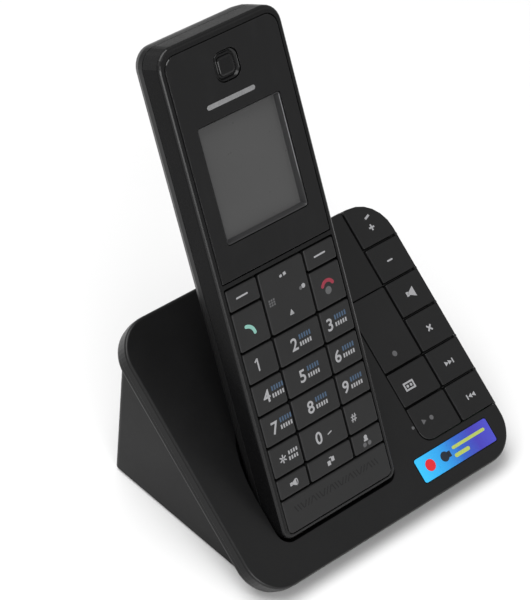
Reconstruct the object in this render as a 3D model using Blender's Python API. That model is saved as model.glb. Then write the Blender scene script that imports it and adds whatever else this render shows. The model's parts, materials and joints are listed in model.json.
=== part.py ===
"""Cordless telephone: a slim handset standing in the charging well of a sloped answering-machine base.

The base is a flat deck with rounded corners on a wedge-shaped stand. Two columns of keys run
down its right side. The handset leans in a well through the deck, steeper than the deck itself.
Lengths are in metres and +Z is up. The base's front edge faces -Y.
"""

import math

import bpy
from mathutils import Matrix, Vector

MM = 0.001

# Fits that repeat
GAP = 0.3 * MM  # between neighbouring fixed pieces
KEY_GAP = 0.8 * MM  # between neighbouring keys
KEY_PROUD = 0.2 * MM  # a key's top above the face round it
KEY_BEVEL = 0.3 * MM
KEY_CORNER = 0.6 * MM
SMALL_CORNER = 0.5 * MM
LEAST_CORNER = 0.1 * MM
STEP_APART = 0.1 * MM  # keeps two cuts from ending in one plane
CORNER_STEPS = 7
SMALL_STEPS = 2
ARC_STEPS = 4  # flats across a rounded edge
SMOOTH_ANGLE = math.radians(35)

# Deck of the base: x across, s up the slope from the front edge, h out of the surface
DECK_WIDTH = 113.4 * MM
DECK_LENGTH = 95.0 * MM
DECK_SLOPE = math.radians(36.2)
DECK_THICKNESS = 7.8 * MM
DECK_CORNER = 12.5 * MM
DECK_FRONT_Z = 6.7 * MM  # height of the front edge's top
DECK_BEVEL = 0.9 * MM
DECK_SEAM = 4.0 * MM  # depth of the seam between the cover and the underside
DECK_SKIN = 1.9 * MM
DECK_WALL = 2.2 * MM
UNDERSIDE_INSET = 0.3 * MM
UNDERSIDE_FLOOR = 1.1 * MM
UNDERSIDE_BEVEL = 2.0 * MM

# Stand under the deck
STAND_INSET = 6.7 * MM
STAND_FRONT = 10.7 * MM
STAND_CORNER = 2.6 * MM
STAND_WALL = 2.2 * MM
STAND_BOTTOM = 1.0 * MM
STAND_BACK_SETBACK = 1.6 * MM  # from the deck's lower back edge
PLATE_THICKNESS = 1.3 * MM
PLATE_LIFT = 0.2 * MM  # of the bottom plate above the stand's lower edge
FOOT_LENGTH = 62.0 * MM
FOOT_WIDTH = 7.0 * MM
FOOT_MARGIN = 5.0 * MM
FOOT_CORNER = 3.2 * MM

# Keys on the deck: column lines from the right edge, row lines from the front edge
OUTER_COLUMN = 15.6 * MM
INNER_COLUMN = 17.5 * MM
KEY_LINES = (16.0 * MM, 29.1 * MM, 41.7 * MM, 54.5 * MM, 67.4 * MM, 80.2 * MM)
BASE_KEY_THICKNESS = 1.8 * MM
BASE_KEY_CLEARANCE = 1.0 * MM  # free height under a cap
BASE_MAT_THICKNESS = 0.8 * MM
BASE_BOARD_THICKNESS = 1.0 * MM
BASE_BOARD_OVERHANG = 6.0 * MM  # past the inner column's left line
PLAY_CORNER = 4.5 * MM

# Label on the deck
LABEL_LENGTH = 33.2 * MM
LABEL_WIDTH = 8.6 * MM
LABEL_THICKNESS = 0.3 * MM
LABEL_PROUD = 0.1 * MM
LABEL_CORNER = 0.6 * MM
LABEL_CENTRE_X = 33.0 * MM
LABEL_CENTRE_S = 9.5 * MM

# Handset: u across, v up its length, w out of its front
HANDSET_WIDTH = 48.4 * MM
HANDSET_LENGTH = 159.4 * MM
HANDSET_THICKNESS = 18.0 * MM
HANDSET_LEAN = math.radians(62.8)
HANDSET_CENTRE_X = -16.2 * MM
HANDSET_SEAT_S = 12.3 * MM  # where the front bottom edge stands on the deck
HANDSET_SEAT_H = 0.8 * MM
HANDSET_SEAM = 8.0 * MM
HANDSET_TOP_CORNER = 6.4 * MM
HANDSET_BOTTOM_CORNER = 3.5 * MM
HANDSET_BEVEL = 1.2 * MM
BACK_ROUND_TOP = 7.0 * MM
BACK_ROUND_BOTTOM = 4.0 * MM
BACK_LEAST_CORNER = 2.0 * MM
FRAME_WALL = 2.4 * MM
BACK_WALL = 1.7 * MM
FRAME_RIM = 1.8 * MM
FRAME_RIM_BOTTOM = 1.5 * MM
FRAME_RIM_TOP = 2.4 * MM
PANEL_DEPTH = 1.5 * MM  # of the recess that holds the front panels
FRONT_SKIN = 1.2 * MM
CROSSBAR = 1.3 * MM

# Well for the handset
WELL_GAP = 1.0 * MM
WELL_WALL = 1.5 * MM
WELL_TOP = 1.0 * MM  # depth of the well's rim inside the deck's skin

# Handset front: row lines of the keypad, up from the bottom edge
ROW_LINES = (13.2 * MM, 20.5 * MM, 31.1 * MM, 41.7 * MM, 52.3 * MM, 63.0 * MM, 76.3 * MM, 83.9 * MM)
MIDDLE_COLUMN = 18.9 * MM
KEYPAD_MARGIN = 0.4 * MM
HANDSET_KEY_THICKNESS = 1.9 * MM
HANDSET_KEY_CLEARANCE = 1.1 * MM
HANDSET_MAT_THICKNESS = 0.7 * MM
HANDSET_BOARD_THICKNESS = 0.9 * MM
NAVIGATOR_THICKNESS = 1.4 * MM
CARRIER_THICKNESS = 0.8 * MM
CARRIER_SIZE = 11.0 * MM
NAVIGATOR_CORNER = 0.9 * MM
MAT_CORNER = 1.5 * MM
HANDSET_BOARD_TAIL = 4.0 * MM  # of the board above the keypad

# Upper front of the handset
WINDOW_WIDTH = 33.2 * MM
WINDOW_HEIGHT = 37.4 * MM
WINDOW_CENTRE_V = 114.7 * MM
WINDOW_CORNER = 1.0 * MM
WINDOW_RECESS = 0.4 * MM
PANEL_PROUD = 0.1 * MM
PANEL_BEVEL = 0.2 * MM
LENS_THICKNESS = 0.7 * MM
LCD_MARGIN = 2.2 * MM
LCD_THICKNESS = 2.8 * MM
EAR_SIZE = 9.6 * MM
EAR_CORNER = 3.0 * MM
EAR_RECESS = 0.7 * MM
EAR_CENTRE_V = 147.4 * MM
EAR_HOLE_RADIUS = 3.0 * MM
EAR_SLOT_WIDTH = 0.9 * MM
EAR_SLOT_LENGTH = 3.6 * MM
EAR_SLOT_PITCH = 1.8 * MM
EAR_SPEAKER_RADIUS = 6.5 * MM
EAR_SPEAKER_DEPTH = 3.4 * MM
MIC_HOLE_RADIUS = 1.0 * MM
MIC_RADIUS = 2.0 * MM
MIC_DEPTH = 1.6 * MM

# Battery bay: two small round cells side by side
CELL_RADIUS = 5.25 * MM
CELL_LENGTH = 44.5 * MM
CELL_SPREAD = 6.0 * MM
CELL_DEPTH = 10.6 * MM
CELL_START = 42.0 * MM
COVER_START = 38.0 * MM
COVER_LENGTH = 54.0 * MM
COVER_WIDTH = 34.0 * MM
COVER_CORNER = 2.0 * MM
COVER_BLANK = 4.0 * MM  # half the depth of the block that the cover is cut from

# Charging contacts
CONTACT_SPREAD = 9.0 * MM
CONTACT_DEPTH = 11.5 * MM
PLATE_LENGTH = 5.0 * MM
PLATE_HEIGHT = 3.8 * MM
PLATE_DEPTH = 0.8 * MM
PLATE_RECESS = 0.1 * MM
CONTACT_CORNER = 0.4 * MM
PIN_LENGTH = 3.0 * MM
PIN_WIDTH = 2.4 * MM
PIN_REACH = 0.5 * MM  # from the handset's bottom down to a pin's tip
PIN_ROOT = 3.4 * MM

# Sockets in the back of the stand, and the base's loudspeaker
LINE_JACK = (14.0 * MM, 12.0 * MM, 13.0 * MM)
LINE_SOCKET = (10.0 * MM, 9.0 * MM, 7.5 * MM)
LINE_JACK_X = -22.0 * MM
DC_JACK = (10.0 * MM, 12.0 * MM, 10.0 * MM)
DC_SOCKET_RADIUS = 3.2 * MM
DC_SOCKET_DEPTH = 9.0 * MM
DC_PIN_RADIUS = 0.9 * MM
DC_PIN_SETBACK = 1.0 * MM
JACK_CORNER = 0.6 * MM
DC_JACK_X = 14.0 * MM
JACK_Z = 14.0 * MM
SPEAKER_RADIUS = 16.0 * MM
SPEAKER_HEIGHT = 6.0 * MM
SPEAKER_X = 26.0 * MM
SPEAKER_Y = 46.7 * MM
SLOT_COUNT = 5
SLOT_WIDTH = 1.8 * MM
SLOT_PITCH = 4.4 * MM
SLOT_LENGTH = 20.0 * MM

FAR = 60.0 * MM  # how far a cutter runs past what it cuts

BLACK_GLOSS = (0.012, 0.012, 0.013, 1.0)
BLACK_SATIN = (0.016, 0.016, 0.017, 1.0)
CHARCOAL = (0.028, 0.028, 0.030, 1.0)
RUBBER = (0.020, 0.020, 0.020, 1.0)
GLASS_GREY = (0.080, 0.085, 0.085, 1.0)
BOARD_GREEN = (0.020, 0.090, 0.035, 1.0)
STEEL = (0.560, 0.560, 0.570, 1.0)
CONTACT_GOLD = (0.620, 0.480, 0.220, 1.0)
CELL_SLEEVE = (0.035, 0.130, 0.100, 1.0)
LABEL_BLUE = (0.100, 0.280, 0.620, 1.0)


def clear_scene():
    for obj in list(bpy.data.objects):
        bpy.data.objects.remove(obj, do_unlink=True)


def tilted_frame(origin, angle):
    """A frame turned about X: its y runs up the slope and its z comes out of it."""
    return Matrix.Translation(origin) @ Matrix.Rotation(angle, 4, "X")


GROUND = Matrix.Identity(4)
DECK = tilted_frame((0.0, 0.0, DECK_FRONT_Z), DECK_SLOPE)
HANDSET = tilted_frame(DECK @ Vector((HANDSET_CENTRE_X, HANDSET_SEAT_S, HANDSET_SEAT_H)), HANDSET_LEAN)


def rounded_outline(x0, x1, y0, y1, radii, steps=CORNER_STEPS):
    """Points of a rounded rectangle, anticlockwise from its lower right corner.

    The radii are those of the lower right, upper right, upper left and lower left corners.
    """
    corners = ((x1, y0, -1, 1), (x1, y1, -1, -1), (x0, y1, 1, -1), (x0, y0, 1, 1))
    points = []
    for turn, ((x, y, inward_x, inward_y), radius) in enumerate(zip(corners, radii)):
        for step in range(steps + 1):
            angle = math.radians(90 * (turn - 1 + step / steps))
            points.append(
                (
                    x + inward_x * radius + radius * math.cos(angle),
                    y + inward_y * radius + radius * math.sin(angle),
                )
            )
    return points


def box_outline(width, length, radius=SMALL_CORNER, centre=(0.0, 0.0), steps=SMALL_STEPS):
    x, y = centre
    return rounded_outline(
        x - width / 2, x + width / 2, y - length / 2, y + length / 2, (radius,) * 4, steps
    )


def circle_outline(radius, centre=(0.0, 0.0), count=24):
    angles = [2 * math.pi * step / count for step in range(count)]
    return [(centre[0] + radius * math.cos(a), centre[1] + radius * math.sin(a)) for a in angles]


def prism(outline, low, high):
    """Rings of a straight prism between two heights."""
    return [[(x, y, z) for x, y in outline] for z in (low, high)]


def edge_levels(low, high, bevel, flats):
    """Pairs of inset and height up a straight side and over a rounded top edge."""
    levels = [(0.0, low)]
    for step in range(flats + 1):
        angle = math.pi / 2 * step / flats
        levels.append((bevel * (1 - math.cos(angle)), high - bevel * (1 - math.sin(angle))))
    return levels


def cap_rings(x0, x1, y0, y1, radii, low, high, bevel, steps=SMALL_STEPS, flats=1):
    """Rings of a key cap or panel: straight sides and a small rounded edge at the top."""
    rings = []
    for inset, height in edge_levels(low, high, bevel, flats):
        inner = [max(radius - inset, LEAST_CORNER) for radius in radii]
        outline = rounded_outline(x0 + inset, x1 - inset, y0 + inset, y1 - inset, inner, steps)
        rings.append([(x, y, height) for x, y in outline])
    return rings


def along_y(rings):
    """Turns rings stacked up z so that they are stacked along +y."""
    return [[(-x, z, y) for x, y, z in ring] for ring in rings]


def make_mesh(name, stacks, pivot):
    """One mesh from one or more stacks of rings, each stack closed at both ends."""
    vertices = []
    faces = []
    for rings in stacks:
        start = len(vertices)
        count = len(rings[0])
        for ring in rings:
            vertices += [Vector(point) - Vector(pivot) for point in ring]
        for level in range(len(rings) - 1):
            low = start + level * count
            for step in range(count):
                after = (step + 1) % count
                faces.append((low + step, low + after, low + count + after, low + count + step))
        faces.append(tuple(reversed(range(start, start + count))))
        faces.append(tuple(range(len(vertices) - count, len(vertices))))
    mesh = bpy.data.meshes.new(name)
    mesh.from_pydata(vertices, [], faces)
    mesh.validate()
    mesh.shade_smooth()
    mesh.set_sharp_from_angle(angle=SMOOTH_ANGLE)
    return mesh


def make_material(name, colour, roughness, metallic=0.0):
    material = bpy.data.materials.new(name)
    material.use_nodes = True
    shader = material.node_tree.nodes["Principled BSDF"]
    shader.inputs["Base Color"].default_value = colour
    shader.inputs["Roughness"].default_value = roughness
    shader.inputs["Metallic"].default_value = metallic
    material.diffuse_color = colour
    return material


def add_object(name, mesh, frame, pivot):
    obj = bpy.data.objects.new(name, mesh)
    bpy.context.scene.collection.objects.link(obj)
    obj.matrix_world = frame @ Matrix.Translation(pivot)
    return obj


def piece(name, rings, frame, look, pivot=None):
    """A visible piece, its origin at the pivot or else at the middle of its first ring."""
    if pivot is None:
        pivot = sum((Vector(point) for point in rings[0]), Vector()) / len(rings[0])
    obj = add_object(name, make_mesh(name, [rings], pivot), frame, pivot)
    obj.data.materials.append(make_material(name + "_material", *look))
    return obj


def helper(name, stacks, frame):
    """A solid that only cuts or joins others."""
    obj = add_object(name, make_mesh(name, stacks, (0.0, 0.0, 0.0)), frame, (0.0, 0.0, 0.0))
    obj.hide_render = True
    obj.display_type = "WIRE"
    return obj


def combine(obj, operation, other):
    modifier = obj.modifiers.new(operation.lower() + "_" + other.name, "BOOLEAN")
    modifier.operation = operation
    modifier.solver = "EXACT"
    modifier.object = other


def cut(obj, name, stacks, frame):
    combine(obj, "DIFFERENCE", helper(name, stacks, frame))


# ------------------------------------------------------------------ handset shape

HALF = HANDSET_WIDTH / 2
BACK_DEPTH = HANDSET_THICKNESS - HANDSET_SEAM
BACK_STOPS = (0, 15, 30, 45, 60, 75, 90)


def rounding(depth, total, radius):
    """How far the back's surface has come in at a depth, for an edge rounded by a radius."""
    over = max(0.0, depth - (total - radius))
    return radius - math.sqrt(max(0.0, radius**2 - over**2))


def back_rings(offset, open_end):
    """Rings of the handset's back grown by an offset, from its deepest point out past the seam."""
    rings = []
    total = BACK_DEPTH + offset
    for stop in reversed(BACK_STOPS):
        depth = total * math.sin(math.radians(stop))
        side = rounding(depth, total, total) - offset
        top = rounding(depth, total, BACK_ROUND_TOP + offset) - offset
        bottom = rounding(depth, total, BACK_ROUND_BOTTOM + offset) - offset
        top_corner = max(HANDSET_TOP_CORNER - top / 2, BACK_LEAST_CORNER)
        bottom_corner = max(HANDSET_BOTTOM_CORNER - bottom / 2, BACK_LEAST_CORNER)
        outline = rounded_outline(
            -HALF + side,
            HALF - side,
            bottom,
            HANDSET_LENGTH - top,
            (bottom_corner, top_corner, top_corner, bottom_corner),
        )
        height = -HANDSET_SEAM - depth if stop else open_end
        rings.append([(u, v, height) for u, v in outline])
    return rings


def well_stack(offset, bottom, front):
    """A channel of the handset's cross-section grown by an offset, with the lower corners rounded."""
    total = BACK_DEPTH + offset
    across = []
    for stop in BACK_STOPS:
        angle = math.radians(stop)
        u = HALF - BACK_DEPTH + total * math.cos(angle)
        across.append((u, -HANDSET_SEAM - total * math.sin(angle)))
    right = [(HALF + offset, front)] + across
    left = [(-u, w) for u, w in reversed(right)]
    section = right + left
    radius = HANDSET_BOTTOM_CORNER + offset
    rings = []
    for inset, v in edge_levels(-HANDSET_LENGTH / 2, -bottom, radius, CORNER_STEPS):
        rings.append([(u - math.copysign(inset, u), -v, w) for u, w in section])
    return [ring[::-1] for ring in rings]


def build_handset_shell():
    corners = (HANDSET_BOTTOM_CORNER, HANDSET_TOP_CORNER, HANDSET_TOP_CORNER, HANDSET_BOTTOM_CORNER)
    front = piece(
        "handset_front_case",
        cap_rings(
            -HALF,
            HALF,
            0.0,
            HANDSET_LENGTH,
            corners,
            -HANDSET_SEAM + GAP / 2,
            0.0,
            HANDSET_BEVEL,
            CORNER_STEPS,
            ARC_STEPS,
        ),
        HANDSET,
        (BLACK_SATIN, 0.35),
    )
    inner = [max(radius - FRAME_WALL, SMALL_CORNER) for radius in corners]
    hollow = rounded_outline(
        -HALF + FRAME_WALL, HALF - FRAME_WALL, FRAME_WALL, HANDSET_LENGTH - FRAME_WALL, inner
    )
    cut(front, "front_hollow", [prism(hollow, -FAR, -PANEL_DEPTH - FRONT_SKIN)], HANDSET)

    recess = HALF - FRAME_RIM
    bar_low = ROW_LINES[-1] + GAP
    bar_high = bar_low + CROSSBAR
    top = HANDSET_LENGTH - FRAME_RIM_TOP
    bottom_radius = HANDSET_BOTTOM_CORNER - FRAME_RIM_BOTTOM
    top_radius = HANDSET_TOP_CORNER - FRAME_RIM
    radii = (bottom_radius, SMALL_CORNER, SMALL_CORNER, bottom_radius)
    lower = rounded_outline(-recess, recess, FRAME_RIM_BOTTOM, bar_low, radii, SMALL_STEPS)
    cut(front, "lower_recess", [prism(lower, -PANEL_DEPTH, FAR)], HANDSET)
    radii = (SMALL_CORNER, top_radius, top_radius, SMALL_CORNER)
    upper = rounded_outline(-recess, recess, bar_high, top, radii)
    cut(front, "upper_recess", [prism(upper, -PANEL_DEPTH, FAR)], HANDSET)
    keypad = box_outline(
        2 * recess - STEP_APART,
        bar_low - ROW_LINES[0] - STEP_APART,
        centre=(0.0, (bar_low + ROW_LINES[0]) / 2),
    )
    cut(front, "keypad_opening", [prism(keypad, -PANEL_DEPTH - 2 * FRONT_SKIN, FAR / 2)], HANDSET)
    window = box_outline(WINDOW_WIDTH, WINDOW_HEIGHT, WINDOW_CORNER, (0.0, WINDOW_CENTRE_V))
    cut(front, "window_opening", [prism(window, -PANEL_DEPTH - 2 * FRONT_SKIN, FAR)], HANDSET)
    holes = (("ear_hole", EAR_CENTRE_V, EAR_HOLE_RADIUS), ("mic_hole", ROW_LINES[0] / 2, MIC_HOLE_RADIUS))
    for name, v, radius in holes:
        hole = circle_outline(radius, (0.0, v), 12)
        cut(front, name, [prism(hole, -PANEL_DEPTH - 2 * FRONT_SKIN, FAR)], HANDSET)

    rear = piece(
        "handset_rear_case",
        back_rings(0.0, -HANDSET_SEAM - GAP / 2),
        HANDSET,
        (CHARCOAL, 0.42),
    )
    cut(rear, "back_hollow", [back_rings(-BACK_WALL, FAR)], HANDSET)
    centre = (0.0, COVER_START + COVER_LENGTH / 2)
    bay = box_outline(COVER_WIDTH + 2 * GAP, COVER_LENGTH + 2 * GAP, COVER_CORNER, centre)
    cut(rear, "bay_opening", [prism(bay, -FAR, -HANDSET_THICKNESS + COVER_BLANK + GAP)], HANDSET)

    cover = piece(
        "battery_cover",
        prism(
            box_outline(COVER_WIDTH, COVER_LENGTH, COVER_CORNER, centre),
            -HANDSET_THICKNESS - COVER_BLANK,
            -HANDSET_THICKNESS + COVER_BLANK,
        ),
        HANDSET,
        (CHARCOAL, 0.42),
        (0.0, COVER_START, -HANDSET_THICKNESS),
    )
    combine(cover, "INTERSECT", helper("cover_outside", [back_rings(0.0, 0.0)], HANDSET))
    cut(cover, "cover_inside", [back_rings(-BACK_WALL, FAR)], HANDSET)
    return rear


def build_handset_front():
    recess = HALF - FRAME_RIM
    side = recess - GAP
    floor = -PANEL_DEPTH + GAP
    bar_high = ROW_LINES[-1] + GAP + CROSSBAR
    top = HANDSET_LENGTH - FRAME_RIM_TOP
    top_radius = HANDSET_TOP_CORNER - FRAME_RIM - GAP
    bezel = piece(
        "upper_bezel",
        cap_rings(
            -side,
            side,
            bar_high + GAP,
            top - GAP,
            (SMALL_CORNER, top_radius, top_radius, SMALL_CORNER),
            floor,
            PANEL_PROUD,
            PANEL_BEVEL,
            CORNER_STEPS,
        ),
        HANDSET,
        (BLACK_GLOSS, 0.08),
    )
    window = box_outline(WINDOW_WIDTH, WINDOW_HEIGHT, WINDOW_CORNER, (0.0, WINDOW_CENTRE_V))
    cut(bezel, "bezel_window", [prism(window, -FAR, FAR)], HANDSET)
    ear = box_outline(EAR_SIZE, EAR_SIZE, EAR_CORNER, (0.0, EAR_CENTRE_V), CORNER_STEPS)
    cut(bezel, "bezel_ear", [prism(ear, -FAR, FAR)], HANDSET)

    lens_top = -WINDOW_RECESS
    inset = 2 * GAP
    piece(
        "display_window",
        prism(
            box_outline(
                WINDOW_WIDTH - inset, WINDOW_HEIGHT - inset, WINDOW_CORNER - GAP, (0.0, WINDOW_CENTRE_V)
            ),
            lens_top - LENS_THICKNESS,
            lens_top,
        ),
        HANDSET,
        (GLASS_GREY, 0.06),
    )
    lcd_top = -PANEL_DEPTH - FRONT_SKIN - GAP
    piece(
        "lcd_module",
        prism(
            box_outline(
                WINDOW_WIDTH + 2 * LCD_MARGIN, WINDOW_HEIGHT + 2 * LCD_MARGIN, centre=(0.0, WINDOW_CENTRE_V)
            ),
            lcd_top - LCD_THICKNESS,
            lcd_top,
        ),
        HANDSET,
        (GLASS_GREY, 0.30),
    )
    grille = piece(
        "earpiece_grille",
        cap_rings(
            -EAR_SIZE / 2 + GAP,
            EAR_SIZE / 2 - GAP,
            EAR_CENTRE_V - EAR_SIZE / 2 + GAP,
            EAR_CENTRE_V + EAR_SIZE / 2 - GAP,
            (EAR_CORNER - GAP,) * 4,
            floor,
            -EAR_RECESS,
            PANEL_BEVEL,
            CORNER_STEPS,
        ),
        HANDSET,
        (BLACK_SATIN, 0.40),
    )
    slots = [
        prism(
            box_outline(EAR_SLOT_WIDTH, EAR_SLOT_LENGTH, EAR_SLOT_WIDTH / 3, (u, EAR_CENTRE_V)), -FAR, FAR
        )
        for u in (-EAR_SLOT_PITCH, 0.0, EAR_SLOT_PITCH)
    ]
    cut(grille, "ear_slots", slots, HANDSET)
    piece(
        "earpiece_speaker",
        prism(
            circle_outline(EAR_SPEAKER_RADIUS, (0.0, EAR_CENTRE_V)), lcd_top - EAR_SPEAKER_DEPTH, lcd_top
        ),
        HANDSET,
        (STEEL, 0.35, 1.0),
    )
    panel_radius = HANDSET_BOTTOM_CORNER - FRAME_RIM_BOTTOM - GAP
    piece(
        "mic_panel",
        cap_rings(
            -side,
            side,
            FRAME_RIM_BOTTOM + GAP,
            ROW_LINES[0] - GAP,
            (panel_radius, SMALL_CORNER, SMALL_CORNER, panel_radius),
            floor,
            KEY_PROUD,
            KEY_BEVEL,
        ),
        HANDSET,
        (CHARCOAL, 0.45),
    )
    piece(
        "microphone",
        prism(circle_outline(MIC_RADIUS, (0.0, ROW_LINES[0] / 2), 16), lcd_top - MIC_DEPTH, lcd_top),
        HANDSET,
        (STEEL, 0.35, 1.0),
    )


def build_handset_inside(rear):
    mat_top = KEY_PROUD - HANDSET_KEY_THICKNESS - HANDSET_KEY_CLEARANCE
    mat_side = HALF - FRAME_WALL - 2 * GAP
    mat_start = ROW_LINES[0] + GAP
    corners = (MAT_CORNER,) * 4
    mat = rounded_outline(-mat_side, mat_side, mat_start, ROW_LINES[-1] - GAP, corners, SMALL_STEPS)
    piece(
        "keypad_mat",
        prism(mat, mat_top - HANDSET_MAT_THICKNESS, mat_top),
        HANDSET,
        (RUBBER, 0.80),
    )
    board_top = mat_top - HANDSET_MAT_THICKNESS - GAP
    board_end = ROW_LINES[-1] + HANDSET_BOARD_TAIL
    board = rounded_outline(-mat_side, mat_side, mat_start, board_end, corners, SMALL_STEPS)
    piece(
        "handset_board",
        prism(board, board_top - HANDSET_BOARD_THICKNESS, board_top),
        HANDSET,
        (BOARD_GREEN, 0.50),
    )
    for name, u in (("battery_left", -CELL_SPREAD), ("battery_right", CELL_SPREAD)):
        circle = circle_outline(CELL_RADIUS, (-u, -CELL_DEPTH), 24)
        piece(
            name,
            along_y(prism(circle, CELL_START, CELL_START + CELL_LENGTH)),
            HANDSET,
            (CELL_SLEEVE, 0.35),
            (u, CELL_START, -CELL_DEPTH),
        )
    for name, u in (("left", -CONTACT_SPREAD), ("right", CONTACT_SPREAD)):
        centre = (-u, -CONTACT_DEPTH)
        plate = box_outline(PLATE_LENGTH, PLATE_HEIGHT, CONTACT_CORNER, centre)
        plate_end = PLATE_RECESS + PLATE_DEPTH
        piece(
            "handset_contact_" + name,
            along_y(prism(plate, PLATE_RECESS, plate_end)),
            HANDSET,
            (CONTACT_GOLD, 0.30, 1.0),
        )
        slot = box_outline(PLATE_LENGTH + 2 * GAP, PLATE_HEIGHT + 2 * GAP, CONTACT_CORNER, centre)
        cut(rear, "contact_slot_" + name, [along_y(prism(slot, -FAR, plate_end + GAP))], HANDSET)


def handset_key(name, u0, u1, v0, v1, corner=KEY_CORNER, thickness=HANDSET_KEY_THICKNESS, pivot=None):
    half = KEY_GAP / 2
    return piece(
        name,
        cap_rings(
            u0 + half,
            u1 - half,
            v0 + half,
            v1 - half,
            (corner,) * 4,
            KEY_PROUD - thickness,
            KEY_PROUD,
            KEY_BEVEL,
        ),
        HANDSET,
        (CHARCOAL, 0.45),
        pivot,
    )


def build_handset_keys():
    edge = HALF - FRAME_RIM - KEYPAD_MARGIN + KEY_GAP / 2
    middle = MIDDLE_COLUMN / 2
    columns = ((-edge, -middle), (-middle, middle), (middle, edge))
    rows = list(zip(ROW_LINES[:-1], ROW_LINES[1:]))
    names = (
        ("function_key_left", "function_key_middle", "function_key_right"),
        ("key_star", "key_0", "key_hash"),
        ("key_7", "key_8", "key_9"),
        ("key_4", "key_5", "key_6"),
        ("key_1", "key_2", "key_3"),
        ("talk_key", None, "end_key"),
        ("soft_key_left", None, "soft_key_right"),
    )
    for (v0, v1), row in zip(rows, names):
        for (u0, u1), name in zip(columns, row):
            if name:
                handset_key(name, u0, u1, v0, v1)
    low, high = rows[-2][0], rows[-1][1]
    cap_bottom = KEY_PROUD - NAVIGATOR_THICKNESS
    carrier_top = cap_bottom - GAP
    pivot = (0.0, (low + high) / 2, carrier_top - CARRIER_THICKNESS / 2)
    handset_key("navigator_key", -middle, middle, low, high, NAVIGATOR_CORNER, NAVIGATOR_THICKNESS, pivot)
    piece(
        "navigator_carrier",
        prism(
            box_outline(CARRIER_SIZE, CARRIER_SIZE, centre=pivot[:2]),
            carrier_top - CARRIER_THICKNESS,
            carrier_top,
        ),
        HANDSET,
        (CHARCOAL, 0.50),
        pivot,
    )


# ------------------------------------------------------------------ base

DECK_HALF = DECK_WIDTH / 2
OUTER_LINE = DECK_HALF - OUTER_COLUMN
INNER_LINE = OUTER_LINE - INNER_COLUMN
MAT_TOP = KEY_PROUD - BASE_KEY_THICKNESS - BASE_KEY_CLEARANCE
STAND_BACK = (
    DECK_LENGTH * math.cos(DECK_SLOPE) + DECK_THICKNESS * math.sin(DECK_SLOPE) - STAND_BACK_SETBACK
)


def deck_outline(inset):
    radius = DECK_CORNER - inset
    return rounded_outline(
        -DECK_HALF + inset, DECK_HALF - inset, inset, DECK_LENGTH - inset, (radius,) * 4, 2 * CORNER_STEPS
    )


def deck_level(inset, height):
    return [(x, s, height) for x, s in deck_outline(inset)]


def build_deck():
    cover = piece(
        "deck_cover",
        [deck_level(*level) for level in edge_levels(-DECK_SEAM + GAP / 2, 0.0, DECK_BEVEL, ARC_STEPS)],
        DECK,
        (BLACK_SATIN, 0.38),
    )
    cut(cover, "cover_hollow", [[deck_level(DECK_WALL, -FAR), deck_level(DECK_WALL, -DECK_SKIN)]], DECK)

    above_rim = helper(
        "above_well_rim",
        [prism(box_outline(3 * DECK_WIDTH, 4 * DECK_LENGTH), -WELL_TOP, 4 * FAR)],
        DECK,
    )
    well = helper(
        "well_outside", [well_stack(WELL_GAP + WELL_WALL, -WELL_GAP - WELL_WALL, WELL_WALL)], HANDSET
    )
    combine(well, "DIFFERENCE", above_rim)
    combine(cover, "UNION", well)
    cut(cover, "well_inside", [well_stack(WELL_GAP, -WELL_GAP, FAR)], HANDSET)

    for name, u in (("left", -CONTACT_SPREAD), ("right", CONTACT_SPREAD)):
        centre = (-u, -CONTACT_DEPTH)
        pin = box_outline(PIN_LENGTH, PIN_WIDTH, CONTACT_CORNER, centre)
        piece(
            "charge_contact_" + name,
            along_y(prism(pin, -PIN_ROOT, -PIN_REACH)),
            HANDSET,
            (CONTACT_GOLD, 0.30, 1.0),
        )
        hole = box_outline(PIN_LENGTH + 2 * GAP, PIN_WIDTH + 2 * GAP, CONTACT_CORNER, centre)
        cut(cover, "pin_hole_" + name, [along_y(prism(hole, -4 * PIN_ROOT, 0.0))], HANDSET)

    outer = rounded_outline(
        OUTER_LINE - KEY_GAP / 2, DECK_HALF + FAR, KEY_LINES[0], DECK_LENGTH + FAR, (SMALL_CORNER,) * 4
    )
    cut(cover, "outer_key_opening", [prism(outer, MAT_TOP, FAR)], DECK)
    inner = rounded_outline(
        INNER_LINE, OUTER_LINE, KEY_LINES[0], KEY_LINES[4], (SMALL_CORNER,) * 3 + (PLAY_CORNER,)
    )
    cut(cover, "inner_key_opening", [prism(inner, MAT_TOP - STEP_APART, FAR)], DECK)

    centre = (LABEL_CENTRE_X, LABEL_CENTRE_S)
    seat = box_outline(LABEL_LENGTH + GAP, LABEL_WIDTH + GAP, LABEL_CORNER + GAP, centre)
    label_bottom = LABEL_PROUD - LABEL_THICKNESS
    cut(cover, "label_seat", [prism(seat, label_bottom - GAP, FAR)], DECK)
    piece(
        "label_plate",
        prism(
            box_outline(LABEL_LENGTH - GAP, LABEL_WIDTH - GAP, LABEL_CORNER, centre),
            label_bottom,
            LABEL_PROUD,
        ),
        DECK,
        (LABEL_BLUE, 0.30),
    )


def build_underside():
    top = -DECK_SEAM - GAP / 2
    bottom = -DECK_THICKNESS
    tray = piece(
        "deck_underside",
        [
            deck_level(UNDERSIDE_INSET + inset, -height)
            for inset, height in reversed(edge_levels(-top, -bottom, UNDERSIDE_BEVEL, ARC_STEPS))
        ],
        DECK,
        (CHARCOAL, 0.42),
    )
    inside = UNDERSIDE_INSET + DECK_WALL
    cut(
        tray,
        "underside_hollow",
        [[deck_level(inside, bottom + UNDERSIDE_FLOOR), deck_level(inside, FAR)]],
        DECK,
    )
    clear = WELL_GAP + WELL_WALL + 2 * GAP
    cut(tray, "underside_well", [well_stack(clear, -clear, FAR)], HANDSET)


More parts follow.
